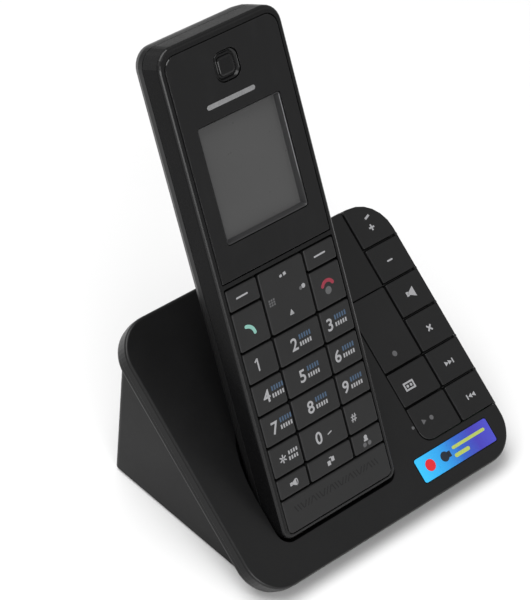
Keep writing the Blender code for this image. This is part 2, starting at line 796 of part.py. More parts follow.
def build_base_inside():
    mat = rounded_outline(
        INNER_LINE + GAP,
        DECK_HALF - DECK_WALL - GAP,
        KEY_LINES[0] + GAP,
        DECK_LENGTH - DECK_WALL - GAP,
        (SMALL_CORNER, DECK_CORNER - DECK_WALL, SMALL_CORNER, PLAY_CORNER),
    )
    piece("base_key_mat", prism(mat, MAT_TOP - BASE_MAT_THICKNESS, MAT_TOP), DECK, (RUBBER, 0.80))
    board_top = MAT_TOP - BASE_MAT_THICKNESS - GAP
    inside = UNDERSIDE_INSET + DECK_WALL + GAP
    radius = DECK_CORNER - inside + GAP
    board = rounded_outline(
        INNER_LINE - BASE_BOARD_OVERHANG,
        DECK_HALF - inside,
        inside,
        DECK_LENGTH - inside,
        (radius, radius, SMALL_CORNER, SMALL_CORNER),
    )
    sheet = prism(board, board_top - BASE_BOARD_THICKNESS, board_top)
    piece("base_board", sheet, DECK, (BOARD_GREEN, 0.50))


def base_key(name, x0, x1, s0, s1, radii=(KEY_CORNER,) * 4):
    half = KEY_GAP / 2
    piece(
        name,
        cap_rings(
            x0 + half,
            x1 - half,
            s0 + half,
            s1 - half,
            radii,
            KEY_PROUD - BASE_KEY_THICKNESS,
            KEY_PROUD,
            KEY_BEVEL,
            CORNER_STEPS,
        ),
        DECK,
        (BLACK_SATIN, 0.42),
    )


def build_base_keys():
    right = DECK_HALF + KEY_GAP / 2 - UNDERSIDE_INSET
    lines = KEY_LINES + (DECK_LENGTH + KEY_GAP / 2 - UNDERSIDE_INSET,)
    names = ("skip_back_key", "skip_forward_key", "erase_key", "speaker_key", "volume_down_key")
    for name, s0, s1 in zip(names, lines, lines[1:]):
        base_key(name, OUTER_LINE, right, s0, s1)
    corner = DECK_CORNER - UNDERSIDE_INSET
    small = KEY_CORNER
    base_key("volume_up_key", OUTER_LINE, right, lines[-2], lines[-1], (small, corner, small, small))
    left_corner = (small, small, small, PLAY_CORNER - KEY_GAP / 2)
    base_key("play_key", INNER_LINE, OUTER_LINE, KEY_LINES[0], KEY_LINES[1], left_corner)
    base_key("answer_on_key", INNER_LINE, OUTER_LINE, KEY_LINES[1], KEY_LINES[2])
    base_key("stop_key", INNER_LINE, OUTER_LINE, KEY_LINES[2], KEY_LINES[4])


def stand_outline(inset):
    half = DECK_HALF - STAND_INSET - inset
    return rounded_outline(
        -half, half, STAND_FRONT + inset, STAND_BACK - inset, (STAND_CORNER - inset,) * 4
    )


def build_stand():
    height = DECK_LENGTH
    stand = piece("stand", prism(stand_outline(0.0), STAND_BOTTOM, height), GROUND, (CHARCOAL, 0.48))
    above = helper(
        "above_stand",
        [prism(box_outline(3 * DECK_WIDTH, 4 * DECK_LENGTH), -DECK_THICKNESS - GAP, 4 * FAR)],
        DECK,
    )
    combine(stand, "DIFFERENCE", above)
    cut(stand, "stand_hollow", [prism(stand_outline(STAND_WALL), -FAR, height + FAR)], GROUND)

    plate_low = STAND_BOTTOM + PLATE_LIFT
    plate_high = plate_low + PLATE_THICKNESS
    plate = piece(
        "bottom_plate",
        prism(stand_outline(STAND_WALL + GAP), plate_low, plate_high),
        GROUND,
        (CHARCOAL, 0.60),
    )
    slots = []
    for step in range(SLOT_COUNT):
        y = SPEAKER_Y + (step - (SLOT_COUNT - 1) / 2) * SLOT_PITCH
        slots.append(
            prism(box_outline(SLOT_LENGTH, SLOT_WIDTH, SLOT_WIDTH / 3, (SPEAKER_X, y)), -FAR, FAR)
        )
    cut(plate, "speaker_slots", slots, GROUND)
    speaker_low = plate_high + GAP
    disc = circle_outline(SPEAKER_RADIUS, (SPEAKER_X, SPEAKER_Y), 32)
    piece(
        "base_speaker",
        prism(disc, speaker_low, speaker_low + SPEAKER_HEIGHT),
        GROUND,
        (STEEL, 0.40, 1.0),
    )
    front = STAND_FRONT + STAND_WALL + GAP + FOOT_MARGIN
    back = STAND_BACK - STAND_WALL - GAP - FOOT_MARGIN
    for name, y in (("foot_front", front), ("foot_rear", back)):
        strip = box_outline(FOOT_LENGTH, FOOT_WIDTH, FOOT_CORNER, (0.0, y), CORNER_STEPS)
        piece(name, prism(strip, 0.0, plate_low - GAP), GROUND, (RUBBER, 0.85))
    build_jacks(stand)


def build_jacks(stand):
    width, depth, height = LINE_JACK
    block = box_outline(width, height, JACK_CORNER, (-LINE_JACK_X, JACK_Z))
    line = piece(
        "line_jack",
        along_y(prism(block, STAND_BACK - depth, STAND_BACK)),
        GROUND,
        (CHARCOAL, 0.50),
        (LINE_JACK_X, STAND_BACK, JACK_Z),
    )
    socket_width, socket_depth, socket_height = LINE_SOCKET
    mouth = box_outline(socket_width, socket_height, JACK_CORNER, (-LINE_JACK_X, JACK_Z))
    cut(line, "line_socket", [along_y(prism(mouth, STAND_BACK - socket_depth, FAR * 3))], GROUND)
    opening = box_outline(width + 2 * GAP, height + 2 * GAP, JACK_CORNER, (-LINE_JACK_X, JACK_Z))
    cut(stand, "line_opening", [along_y(prism(opening, STAND_BACK - depth, FAR * 3))], GROUND)

    width, depth, height = DC_JACK
    block = box_outline(width, height, JACK_CORNER, (-DC_JACK_X, JACK_Z))
    power = piece(
        "dc_jack",
        along_y(prism(block, STAND_BACK - depth, STAND_BACK)),
        GROUND,
        (CHARCOAL, 0.50),
        (DC_JACK_X, STAND_BACK, JACK_Z),
    )
    bore = circle_outline(DC_SOCKET_RADIUS, (-DC_JACK_X, JACK_Z), 20)
    cut(power, "dc_socket", [along_y(prism(bore, STAND_BACK - DC_SOCKET_DEPTH, FAR * 3))], GROUND)
    pin = circle_outline(DC_PIN_RADIUS, (-DC_JACK_X, JACK_Z), 12)
    root = STAND_BACK - DC_SOCKET_DEPTH - DC_PIN_SETBACK
    tip = STAND_BACK - DC_PIN_SETBACK
    combine(power, "UNION", helper("dc_pin", [along_y(prism(pin, root, tip))], GROUND))
    opening = box_outline(width + 2 * GAP, height + 2 * GAP, JACK_CORNER, (-DC_JACK_X, JACK_Z))
    cut(stand, "dc_opening", [along_y(prism(opening, STAND_BACK - depth, FAR * 3))], GROUND)


def surface_points(obj, graph):
    """World positions of every vertex of an object, as its modifiers leave it."""
    shaped = obj.evaluated_get(graph)
    mesh = shaped.to_mesh()
    points = [obj.matrix_world @ vertex.co for vertex in mesh.vertices]
    shaped.to_mesh_clear()
    return points


def centre_on_origin():
    """Moves everything so that the whole box is centred on X and Y and stands on Z = 0."""
    bpy.context.view_layer.update()
    graph = bpy.context.evaluated_depsgraph_get()
    visible = [obj for obj in bpy.data.objects if not obj.hide_render]
    points = [point for obj in visible for point in surface_points(obj, graph)]
    low = Vector([min(point[axis] for point in points) for axis in range(3)])
    high = Vector([max(point[axis] for point in points) for axis in range(3)])
    shift = Vector((-(low.x + high.x) / 2, -(low.y + high.y) / 2, -low.z))
    for obj in bpy.data.objects:
        obj.matrix_world = Matrix.Translation(shift) @ obj.matrix_world


clear_scene()
rear_case = build_handset_shell()
build_handset_front()
build_handset_inside(rear_case)
build_handset_keys()
build_deck()
build_underside()
build_base_inside()
build_base_keys()
build_stand()
centre_on_origin()
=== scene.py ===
# %% [markdown]
# # A cordless telephone and its answering base
# The telephone is all black plastic, so it is read from its finishes and from its edges.
# This lesson loads the engineering model as a fixed frame and then dresses it.
# Large shells keep their exact solids, and small visible pieces are made again with finer surfaces.
# Every length is in metres, because the frame is in metres.

import json
import math

import bmesh
import bpy
import numpy as np
from mathutils import Matrix, Vector

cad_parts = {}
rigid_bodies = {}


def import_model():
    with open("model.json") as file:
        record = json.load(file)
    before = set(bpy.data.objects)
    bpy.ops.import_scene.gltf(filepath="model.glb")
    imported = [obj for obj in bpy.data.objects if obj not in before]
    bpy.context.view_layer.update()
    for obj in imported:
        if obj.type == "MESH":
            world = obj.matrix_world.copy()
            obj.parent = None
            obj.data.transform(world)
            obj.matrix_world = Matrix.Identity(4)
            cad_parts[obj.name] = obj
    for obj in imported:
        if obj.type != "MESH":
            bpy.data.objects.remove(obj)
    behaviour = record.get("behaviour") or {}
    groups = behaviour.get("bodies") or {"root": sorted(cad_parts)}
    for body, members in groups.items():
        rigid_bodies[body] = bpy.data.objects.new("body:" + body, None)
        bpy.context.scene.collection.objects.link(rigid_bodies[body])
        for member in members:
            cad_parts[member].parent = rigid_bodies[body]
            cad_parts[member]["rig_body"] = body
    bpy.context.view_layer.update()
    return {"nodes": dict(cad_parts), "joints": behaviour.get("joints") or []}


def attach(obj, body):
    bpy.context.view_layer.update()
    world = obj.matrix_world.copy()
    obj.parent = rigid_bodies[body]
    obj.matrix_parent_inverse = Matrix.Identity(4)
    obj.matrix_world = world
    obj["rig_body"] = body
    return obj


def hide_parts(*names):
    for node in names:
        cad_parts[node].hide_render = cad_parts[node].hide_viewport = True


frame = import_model()
nodes = frame["nodes"]
joints = {joint["name"]: joint for joint in frame["joints"]}
MM = 0.001

# %% [markdown]
# ## Two tilted faces
# The handset and the deck lean, so their keys are easier to describe on their own faces.
# A `Face` holds a corner point and three directions: across, along and out of the face.
# The directions come from the joints, because every key slides straight into its face.
# The corner comes from the solid, so nothing here is measured twice.

# %% Faces of the handset and of the deck
ACROSS = np.array((1.0, 0.0, 0.0))


def corners_of(node):
    """World positions of a solid's vertices, one row each."""
    mesh = nodes[node].data
    points = np.empty(len(mesh.vertices) * 3)
    mesh.vertices.foreach_get("co", points)
    return points.reshape(-1, 3)


class Face:
    """A flat face: world = origin + across * x + along * y + out * z, with y = out x across."""

    def __init__(self, node, into):
        out = -np.array(into) / np.linalg.norm(into)
        self.axes = np.array((ACROSS, np.cross(out, ACROSS), out))
        spread = corners_of(node) @ self.axes.T
        low, high = spread.min(axis=0), spread.max(axis=0)
        self.origin = np.array(((low[0] + high[0]) / 2, low[1], high[2])) @ self.axes

    def world(self, points):
        return self.origin + np.asarray(points) @ self.axes

    def extent(self, node):
        """Lowest and highest x, y and z of a solid on this face."""
        spread = (corners_of(node) - self.origin) @ self.axes.T
        return spread.min(axis=0), spread.max(axis=0)


DECK = Face("deck_cover", joints["stop_key_press"]["axis"])
HANDSET = Face("handset_front_case", joints["key_5_press"]["axis"])
print("deck corner", DECK.origin.round(4), "handset corner", HANDSET.origin.round(4))

# %% [markdown]
# ## Sums on shader sockets
# A node graph is easier to read as arithmetic than as a list of links.
# `Wire` wraps one socket, and its operators add Math nodes behind the scenes.
# `Finish` owns one material, and its `node` method adds any other node.
# Its settings are set first, because a node may change its sockets with them.
# `EDGE_GAIN` and `TURN_GAIN` say how quickly a mask rises as a surface turns away.

# %% The Wire and Finish classes
EDGE_GAIN = 9.0
TURN_GAIN = 6.0


class Wire:
    """A shader socket that can stand in a Python sum."""

    def __init__(self, finish, socket):
        self.finish = finish
        self.socket = socket

    def join(self, operation, first, second, clamp=False):
        settings = {"operation": operation, "use_clamp": clamp}
        return self.finish.node("ShaderNodeMath", settings, {0: first, 1: second})

    def __add__(self, other):
        return self.join("ADD", self, other)

    def __sub__(self, other):
        return self.join("SUBTRACT", self, other)

    def __rsub__(self, other):
        return self.join("SUBTRACT", other, self)

    def __mul__(self, other):
        return self.join("MULTIPLY", self, other)

    def __truediv__(self, other):
        return self.join("DIVIDE", self, other)

    def __pow__(self, other):
        return self.join("POWER", self, other)

    __radd__ = __add__
    __rmul__ = __mul__

    def clipped(self):
        return self.join("ADD", self, 0.0, clamp=True)


class Finish:
    """One material. `node` makes a node, sets its settings, and then fills its sockets."""

    def __init__(self, name):
        self.material = bpy.data.materials.new(name)
        self.material.use_nodes = True
        self.tree = self.material.node_tree
        self.shader = self.tree.nodes["Principled BSDF"]
        self.place = self.node("ShaderNodeTexCoord", output="Object")

    def fill(self, socket, value):
        if isinstance(value, Wire):
            self.tree.links.new(value.socket, socket)
        elif isinstance(value, (tuple, list)) and len(value) == 3 and socket.type == "RGBA":
            socket.default_value = (*value, 1.0)
        else:
            socket.default_value = value

    def node(self, kind, settings=None, inputs=None, output=0):
        made = self.tree.nodes.new(kind)
        for name, value in (settings or {}).items():
            if name == "stops":
                self.set_stops(made.color_ramp, value)
            else:
                setattr(made, name, value)
        for key, value in (inputs or {}).items():
            self.fill(made.inputs[key], value)
        return Wire(self, made.outputs[output])

    def set_stops(self, ramp, stops):
        while len(ramp.elements) < len(stops):
            ramp.elements.new(1.0)
        for element, (position, colour) in zip(ramp.elements, stops):
            element.position = position
            element.color = (*colour, 1.0)

    def stretched(self, scale, turn=(0.0, 0.0, 0.0)):
        """Object coordinates turned and then scaled, for streaks that run one way."""
        inputs = {"Vector": self.place, "Scale": scale, "Rotation": turn}
        return self.node("ShaderNodeMapping", None, inputs)

    def noise(self, size, detail=2.0, place=None):
        """Cloudy values about one half, with features about `size` across."""
        inputs = {"Vector": place or self.place, "Scale": 1.0 / size, "Detail": detail}
        return self.node("ShaderNodeTexNoise", None, inputs)

    def cells(self, size):
        """Distance to the nearest of many scattered points, in units of their spacing."""
        inputs = {"Vector": self.place, "Scale": 1.0 / size}
        return self.node("ShaderNodeTexVoronoi", None, inputs, "Distance")

    def blend(self, factor, first, second):
        """A colour between two colours."""
        inputs = {0: factor, 6: first, 7: second}
        return self.node("ShaderNodeMix", {"data_type": "RGBA"}, inputs, 2)

    def dot(self, first, second):
        """The cosine between two directions."""
        inputs = {0: first, 1: second}
        return self.node("ShaderNodeVectorMath", {"operation": "DOT_PRODUCT"}, inputs, "Value")

    def edges(self, radius):
        """0 on the flats and near 1 along the edges, where a rounded normal leans from the flat one."""
        flat = self.node("ShaderNodeNewGeometry", output="Normal")
        return ((1.0 - self.dot(self.rounded(radius), flat)) * EDGE_GAIN).clipped()

    def turning(self, axes):
        """0 where the surface faces along one of the axes, and up to 1 on what lies between them."""
        normal = self.node("ShaderNodeTexCoord", output="Normal")
        most = 0.0
        for axis in axes:
            facing = self.dot(normal, tuple(float(part) for part in axis))
            most = facing.join("MAXIMUM", facing.join("ABSOLUTE", facing, 0.0), most)
        return ((1.0 - most) * TURN_GAIN).clipped()

    def rounded(self, radius):
        """The surface normal as if every edge were rounded to this radius."""
        return self.node("ShaderNodeBevel", {"samples": 4}, {"Radius": radius})

    def bump(self, height, depth, normal=None):
        inputs = {"Height": height, "Distance": depth}
        if normal is not None:
            inputs["Normal"] = normal
        return self.node("ShaderNodeBump", None, inputs)

    def set(self, **values):
        for name, value in values.items():
            self.fill(self.shader.inputs[name.replace("_", " ")], value)


print("shader helpers are ready")

# %% [markdown]
# ## Moulded plastics
# A moulded black plastic is never one flat black.
# The tool leaves a fine grain, hands polish the edges, and dust settles as pale specks.
# One recipe serves the deck, the stand, the cases and the keys, with other numbers for each.
# The grain is a bump of cloud noise, and a wider noise shifts the roughness from place to place.
# The deck and the front case shine a little on top and round their edges, where hands rub them.
# They stay dull on their sides. `polish` adds that shine as a coat.

# %% Satin and charcoal finishes
DRIFT_SIZE = 14.0 * MM
PATCH_SIZE = 1.1 * MM
WEAR_SIZE = 3.0 * MM
PALE_EDGE = 1.7  # how much paler a worn edge is than the flats
DUST_SPACING = 1.9 * MM
DUST = 0.5
DUST_COLOUR = (0.09, 0.09, 0.088)


def tinted(colour, amount):
    """A colour made darker or paler by one factor, and no brighter than white."""
    return tuple(min(1.0, amount * part) for part in colour)


def moulded(name, colour, rough, grain, depth, level, edge=0.25 * MM, polish=None):
    """Grain bump on rounded edges, roughness that drifts, paler worn edges, and sparse dust.

    `polish` is a weight and a face: the coat has that weight except on the face's four sides.
    """
    finish = Finish(name)
    fine = finish.noise(grain, 3.0)
    drift = finish.noise(DRIFT_SIZE, 3.0)
    patch = finish.noise(PATCH_SIZE, 4.0)
    worn = finish.edges(edge) * finish.noise(WEAR_SIZE, 3.0)
    speck = (1.0 - finish.cells(DUST_SPACING) * 13.0).clipped() * DUST
    cloudy = (drift + patch - 0.5).clipped()
    tone = finish.blend(cloudy, tinted(colour, 0.8), tinted(colour, 1.2))
    tone = finish.blend(worn.clipped(), tone, tinted(colour, PALE_EDGE))
    tone = finish.blend((speck * 0.35).clipped(), tone, DUST_COLOUR)
    roughness = rough + (drift - 0.5) * 0.16 + (patch - 0.5) * 0.10 - worn * 0.08 + speck * 0.15
    finish.set(Base_Color=tone, Roughness=roughness.clipped(), Specular_IOR_Level=level)
    finish.set(Normal=finish.bump(fine, depth, finish.rounded(edge)))
    if polish:
        weight, face = polish
        finish.set(Coat_Weight=finish.turning(face.axes[:2]) * weight, Coat_Roughness=rough)
    return finish.material


def near_black(level):
    """A black that leans very slightly to blue, as most black plastics do."""
    return level, level, level + 0.0002


KEY_EDGE_WEAR = 0.15 * MM
DECK_BLACK = moulded(
    "deck_satin_black", near_black(0.0046), 0.38, 0.16 * MM, 0.010 * MM, 0.10, polish=(0.42, DECK)
)
STAND_GREY = moulded("stand_fine_grain", near_black(0.0062), 0.44, 0.24 * MM, 0.020 * MM, 0.16)
CASE_BLACK = moulded(
    "handset_case_satin", near_black(0.0045), 0.26, 0.14 * MM, 0.006 * MM, 0.04, polish=(0.55, HANDSET)
)
REAR_BLACK = moulded("handset_rear_satin", near_black(0.0060), 0.36, 0.14 * MM, 0.008 * MM, 0.12)
KEY_BLACK = moulded(
    "handset_key_soft_satin", near_black(0.0090), 0.48, 0.12 * MM, 0.006 * MM, 0.36, KEY_EDGE_WEAR
)
DECK_KEY = moulded(
    "deck_key_satin", near_black(0.0055), 0.42, 0.13 * MM, 0.007 * MM, 0.33, KEY_EDGE_WEAR
)
plastics = (DECK_BLACK, STAND_GREY, CASE_BLACK, REAR_BLACK, KEY_BLACK, DECK_KEY)
print("plastics:", [plastic.name for plastic in plastics])

# %% [markdown]
# ## The polished panel and the display
# The panel over the display is polished, so its reflections are sharp and fingers leave smears.
# Smears are a coarse stretched noise. They dull the gloss and make it a little paler.
# The display is a grey film of tiny cells under a hard clear layer.
# Its cells are a grid bump a fifth of a millimetre apart, too fine to see from far away.

# %% Gloss and display finishes
def polished(name, colour, rough, coat):
    """A hard gloss whose roughness rises where it was touched, with a very slight waviness."""
    finish = Finish(name)
    smear = finish.noise(5.0 * MM, 4.0, finish.stretched((1.0, 0.45, 0.45), (0.4, 0.2, 0.7)))
    touched = ((smear - 0.52) * 3.0).clipped()
    wave = finish.noise(9.0 * MM, 1.0)
    lint = (1.0 - finish.cells(3.1 * MM) * 22.0).clipped()
    paler = tuple(1.5 * part + 0.002 for part in colour)
    tone = finish.blend((touched * 0.5 + lint * 0.4).clipped(), colour, paler)
    finish.set(Base_Color=tone, Roughness=(rough + touched * 0.10 + lint * 0.3).clipped())
    finish.set(Coat_Weight=coat, Coat_Roughness=0.05, Specular_IOR_Level=0.35)
    finish.set(Normal=finish.bump(wave, 0.012 * MM, finish.rounded(0.15 * MM)))
    return finish.material


HALF_CELL = 0.11 * MM


def display_film(name, colour):
    """A grey film: a grid of cells in the bump, a slow drift in tone, and a clear hard coat.

    The coordinates are laid level with the panel. Each zigzag then rises and falls once a cell.
    """
    finish = Finish(name)
    lean = math.atan2(HANDSET.axes[1][2], HANDSET.axes[1][1])
    place = finish.stretched((1.0, 1.0, 1.0), (-lean, 0.0, 0.0))
    parts = [finish.node("ShaderNodeSeparateXYZ", None, {0: place}, letter) for letter in "XY"]
    rows = [part.join("PINGPONG", part, HALF_CELL) / HALF_CELL for part in parts]
    grid = (rows[0] * rows[1]) ** 0.4
    drift = finish.noise(30.0 * MM, 2.0)
    tone = finish.blend(drift.clipped(), tinted(colour, 0.90), tinted(colour, 1.10))
    patch = finish.noise(2.0 * MM, 3.0)
    finish.set(Base_Color=tone, Roughness=(0.30 + (patch - 0.5) * 0.12).clipped())
    finish.set(Coat_Weight=0.6, Coat_Roughness=0.06, Specular_IOR_Level=0.3)
    finish.set(Normal=finish.bump(grid, 0.004 * MM))
    return finish.material


PANEL_GLOSS = polished("panel_gloss_black", (0.0028, 0.0028, 0.0030), 0.10, 0.35)
SCREEN_GREY = display_film("display_grey_film", (0.055, 0.055, 0.055))
print("panel finishes:", PANEL_GLOSS.name, SCREEN_GREY.name)

# %% [markdown]
# ## Paint, rubber, metal and print
# The symbols are pad-printed: slightly uneven and a little matt.
# The display's lip is so thin that wear on its edges would look like dirt. It takes an ink's
# even mottle too.
# Rubber is dull and powdery. Contacts are plated springs with fine rub marks along their length.
# Boards, cells and cans sit inside. The cells show when the battery cover is open.

# %% Small finishes
def printed(name, colour, rough=0.5):
    """Pad-printed ink: mottled in tone and roughness over a tenth of a millimetre."""
    finish = Finish(name)
    mottle = finish.noise(0.25 * MM, 3.0)
    tone = finish.blend(mottle.clipped(), tinted(colour, 0.72), tinted(colour, 1.15))
    finish.set(Base_Color=tone, Roughness=(rough + (mottle - 0.5) * 0.2).clipped())
    finish.set(Normal=finish.bump(mottle, 0.004 * MM))
    return finish.material


def metal(name, colour, rough, along):
    """Brushed metal: noise stretched along one direction drives roughness and bump."""
    finish = Finish(name)
    streak = finish.noise(0.9 * MM, 4.0, finish.stretched(along))
    stain = finish.noise(2.5 * MM, 3.0)
    tone = finish.blend((stain * 0.7).clipped(), colour, tinted(colour, 0.6))
    finish.set(Base_Color=tone, Metallic=1.0, Roughness=(rough + (streak - 0.5) * 0.25).clipped())
    finish.set(Normal=finish.bump(streak, 0.004 * MM, finish.rounded(0.1 * MM)))
    return finish.material


INK_GREY = printed("legend_ink_light_grey", (0.31, 0.31, 0.32))
INK_DIM = printed("legend_ink_dim_grey", (0.085, 0.085, 0.088))
INK_BLUE = printed("legend_ink_blue", (0.040, 0.078, 0.135))
INK_GREEN = printed("legend_ink_pale_green", (0.20, 0.42, 0.36))
INK_RED = printed("legend_ink_red", (0.25, 0.018, 0.038))
LIP_GREY = printed("window_lip_satin", (0.030, 0.030, 0.031), 0.32)
# A painted highlight: this pale grey ink stands in for the light reflected by the cut edge of the
# display's glass.
PAINTED_EDGE_HIGHLIGHT = printed("window_edge_painted_highlight", (0.30, 0.30, 0.31), 0.2)
RUBBER = moulded("rubber_matt", (0.012, 0.012, 0.012), 0.80, 0.30 * MM, 0.030 * MM, 0.25)
STEEL = metal("steel_can", (0.56, 0.56, 0.57), 0.34, (6.0, 1.0, 1.0))
GOLD = metal("plated_contact", (0.72, 0.55, 0.28), 0.24, (1.0, 5.0, 1.0))
BOARD = moulded("board_solder_mask", (0.012, 0.070, 0.028), 0.38, 0.5 * MM, 0.010 * MM, 0.5)
SLEEVE = moulded("cell_sleeve_green", (0.020, 0.110, 0.075), 0.28, 0.6 * MM, 0.004 * MM, 0.5)
print("inks, rubber and metals are ready")

# %% [markdown]
# ## Surfaces from arrays
# A key, a panel and a foot are the same idea: a rounded outline that is carried up a short profile.
# Each profile entry is an inset and a height, and each makes one ring of points.
# The rings of all entries come from one array sum, and two centre points close the ends.

# %% Rounded outlines and ring surfaces
CORNER_STEPS = 7
LEAST_RADIUS = 0.06 * MM


def rounded_rings(box, radii, insets):
    """Rings of a rounded rectangle, shape (rings, points, 2).

    A point is its corner's centre plus radius times (cos, sin) of its angle. An inset moves the
    sides in and takes the same amount off the radius, which stays above a small least value.
    """
    x0, x1, y0, y1 = box
    insets = np.asarray(insets, float)[:, None, None]
    quarter = np.linspace(0.0, math.pi / 2, CORNER_STEPS)
    angles = quarter[None, :] + (np.arange(4) * math.pi / 2 - math.pi / 2)[:, None]
    radius = np.maximum(np.asarray(radii, float)[None, :, None] - insets, LEAST_RADIUS)
    corner_x = np.array((x1, x1, x0, x0))[None, :, None]
    corner_y = np.array((y0, y1, y1, y0))[None, :, None]
    into_x = np.array((-1.0, -1.0, 1.0, 1.0))[None, :, None]
    into_y = np.array((1.0, -1.0, -1.0, 1.0))[None, :, None]
    x = corner_x + into_x * (insets + radius) + radius * np.cos(angles)
    y = corner_y + into_y * (insets + radius) + radius * np.sin(angles)
    return np.stack((x, y), axis=-1).reshape(len(insets), -1, 2)


def lifted(flat, heights):
    """Gives each flat ring its own height: shape (rings, points, 2) becomes (rings, points, 3)."""
    levels = np.broadcast_to(np.asarray(heights)[:, None, None], (*flat.shape[:2], 1))
    return np.concatenate((flat, levels), axis=-1)


def grid_faces(rows, columns, wrap_rows=False):
    """Quads between neighbouring closed rings. wrap_rows joins the last ring to the first."""
    row = np.arange(rows if wrap_rows else rows - 1)[:, None]
    column = np.arange(columns)[None, :]
    after = (column + 1) % columns
    above = (row + 1) % rows
    here, there = row * columns, above * columns
    quads = (here + column, here + after, there + after, there + column)
    return np.stack(np.broadcast_arrays(*quads), axis=-1).reshape(-1, 4)


def closed_stack(rings):
    """Points and faces of rings (m, n, 3) stacked outwards, closed by a fan at each end."""
    count, length = rings.shape[:2]
    points = np.concatenate((rings.reshape(-1, 3), rings[:1].mean(axis=1), rings[-1:].mean(axis=1)))
    step = np.arange(length)
    after = (step + 1) % length
    low = np.stack((after, step, np.full(length, count * length)), axis=-1)
    last = (count - 1) * length
    high = np.stack((last + step, last + after, np.full(length, count * length + 1)), axis=-1)
    return points, grid_faces(count, length).tolist() + low.tolist() + high.tolist()


SHARP_ANGLE = math.radians(40.0)


def put(name, shape, finish, body, replaced=()):
    """Makes a piece from (points, faces), shades it, and hands it to the frame."""
    mesh = bpy.data.meshes.new(name)
    mesh.from_pydata(np.asarray(shape[0]).tolist(), [], shape[1])
    mesh.update()
    mesh.shade_smooth()
    mesh.set_sharp_from_angle(angle=SHARP_ANGLE)
    mesh.materials.append(finish)
    piece = bpy.data.objects.new(name, mesh)
    bpy.context.scene.collection.objects.link(piece)
    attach(piece, body)
    if replaced:
        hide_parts(*replaced)


EDGE_STEPS = 5
CAP_FOOT = 0.12 * MM
TOP_RING = 0.3 * MM


def arc_profile(low, high, radius):
    """Insets and heights of a cap: a slightly drawn-in foot, a straight side and a rounded top edge."""
    turn = np.linspace(0.0, math.pi / 2, EDGE_STEPS)
    insets = np.concatenate(((CAP_FOOT, 0.0), radius * (1.0 - np.cos(turn))))
    heights = np.concatenate(((low, low + CAP_FOOT), high - radius + radius * np.sin(turn)))
    return insets, heights


def stacked_piece(face, box, radii, insets, heights):
    """Rounded rings with their insets and heights on a face, closed at the bottom and the top."""
    points, faces = closed_stack(lifted(rounded_rings(box, radii, insets), heights))
    return face.world(points), faces


def cap(face, box, radii, low, high, radius):
    """A closed cap: rings up an arc profile, and one more ring just inside the top edge."""
    insets, heights = arc_profile(low, high, radius)
    insets = np.append(insets, insets[-1] + TOP_RING)
    return stacked_piece(face, box, radii, insets, np.append(heights, high))


def swept_frame(face, box, radii, profile):
    """A closed frame: a closed profile of (inset, height) pairs carried round a rounded rectangle."""
    profile = np.asarray(profile, float)
    rings = lifted(rounded_rings(box, radii, profile[:, 0]), profile[:, 1])
    return face.world(rings.reshape(-1, 3)), grid_faces(*rings.shape[:2], wrap_rows=True).tolist()


print("surface helpers are ready")

# %% [markdown]
# ## The shells keep their solids
# The deck cover with its well, the underside, the stand and both handset cases are the right shape
# already, so they only get their plastics. The shader rounds their sharp rims a little.
# The pieces inside the shells are dressed here too.

# %% Dress the shells and the inner parts
def dress(finish, *names):
    for name in names:
        nodes[name].data.materials.clear()
        nodes[name].data.materials.append(finish)


dress(DECK_BLACK, "deck_cover", "deck_underside")
dress(STAND_GREY, "stand", "bottom_plate", "line_jack", "dc_jack")
dress(CASE_BLACK, "handset_front_case")
dress(REAR_BLACK, "handset_rear_case", "battery_cover", "navigator_carrier")
dress(PANEL_GLOSS, "upper_bezel")
dress(RUBBER, "keypad_mat", "base_key_mat", "foot_front", "foot_rear")
dress(BOARD, "handset_board", "base_board")
dress(STEEL, "earpiece_speaker", "microphone", "base_speaker")
dress(GOLD, "charge_contact_left", "charge_contact_right")
dress(GOLD, "handset_contact_left", "handset_contact_right")
dress(SLEEVE, "battery_left", "battery_right")
dress(SCREEN_GREY, "lcd_module")
print("dressed the shells")

# %% [markdown]
# ## Key caps
# Each cap is a rounded rectangle with a soft top edge, and it fills its own solid's box on the face.
# The key in the deck's back corner and the play key follow the deck's curves, so their radii differ.
# The outer keys end at the deck's edge, and their corners are crisp there to keep its line straight.

# %% Key caps on both faces
DIAL_KEYS = [f"key_{digit}" for digit in (1, 2, 3, 4, 5, 6, 7, 8, 9, "star", 0, "hash")]
TOP_KEYS = ["soft_key_left", "soft_key_right", "talk_key", "end_key"]
FUNCTION_KEYS = ["function_key_left", "function_key_middle", "function_key_right"]
DECK_KEYS = [
    "volume_up_key",
    "volume_down_key",
    "speaker_key",
    "erase_key",
    "skip_forward_key",
    "skip_back_key",
    "stop_key",
    "answer_on_key",
    "play_key",
]
KEY_EDGE = 0.35 * MM
SMALL = 0.6 * MM
CRISP = 0.1 * MM
DECK_CORNER = 12.2 * MM
PLAY_CORNER = 4.1 * MM
NAVIGATOR_CORNER = 0.9 * MM
EDGE_KEYS = ("volume_down_key", "speaker_key", "erase_key", "skip_forward_key", "skip_back_key")
ODD_RADII = {
    **{name: (CRISP, CRISP, SMALL, SMALL) for name in EDGE_KEYS},
    "volume_up_key": (CRISP, DECK_CORNER, SMALL, SMALL),
    "play_key": (SMALL, SMALL, SMALL, PLAY_CORNER),
    "navigator_key": (NAVIGATOR_CORNER,) * 4,
}


def outline_of(low, high):
    """The sides of a solid on its face: left, right, front and back."""
    return low[0], high[0], low[1], high[1]


def key_cap(face, name, finish):
    low, high = face.extent(name)
    radii = ODD_RADII.get(name, (SMALL,) * 4)
    shape = cap(face, outline_of(low, high), radii, low[2], high[2], KEY_EDGE)
    put(name + "_cap", shape, finish, name, (name,))


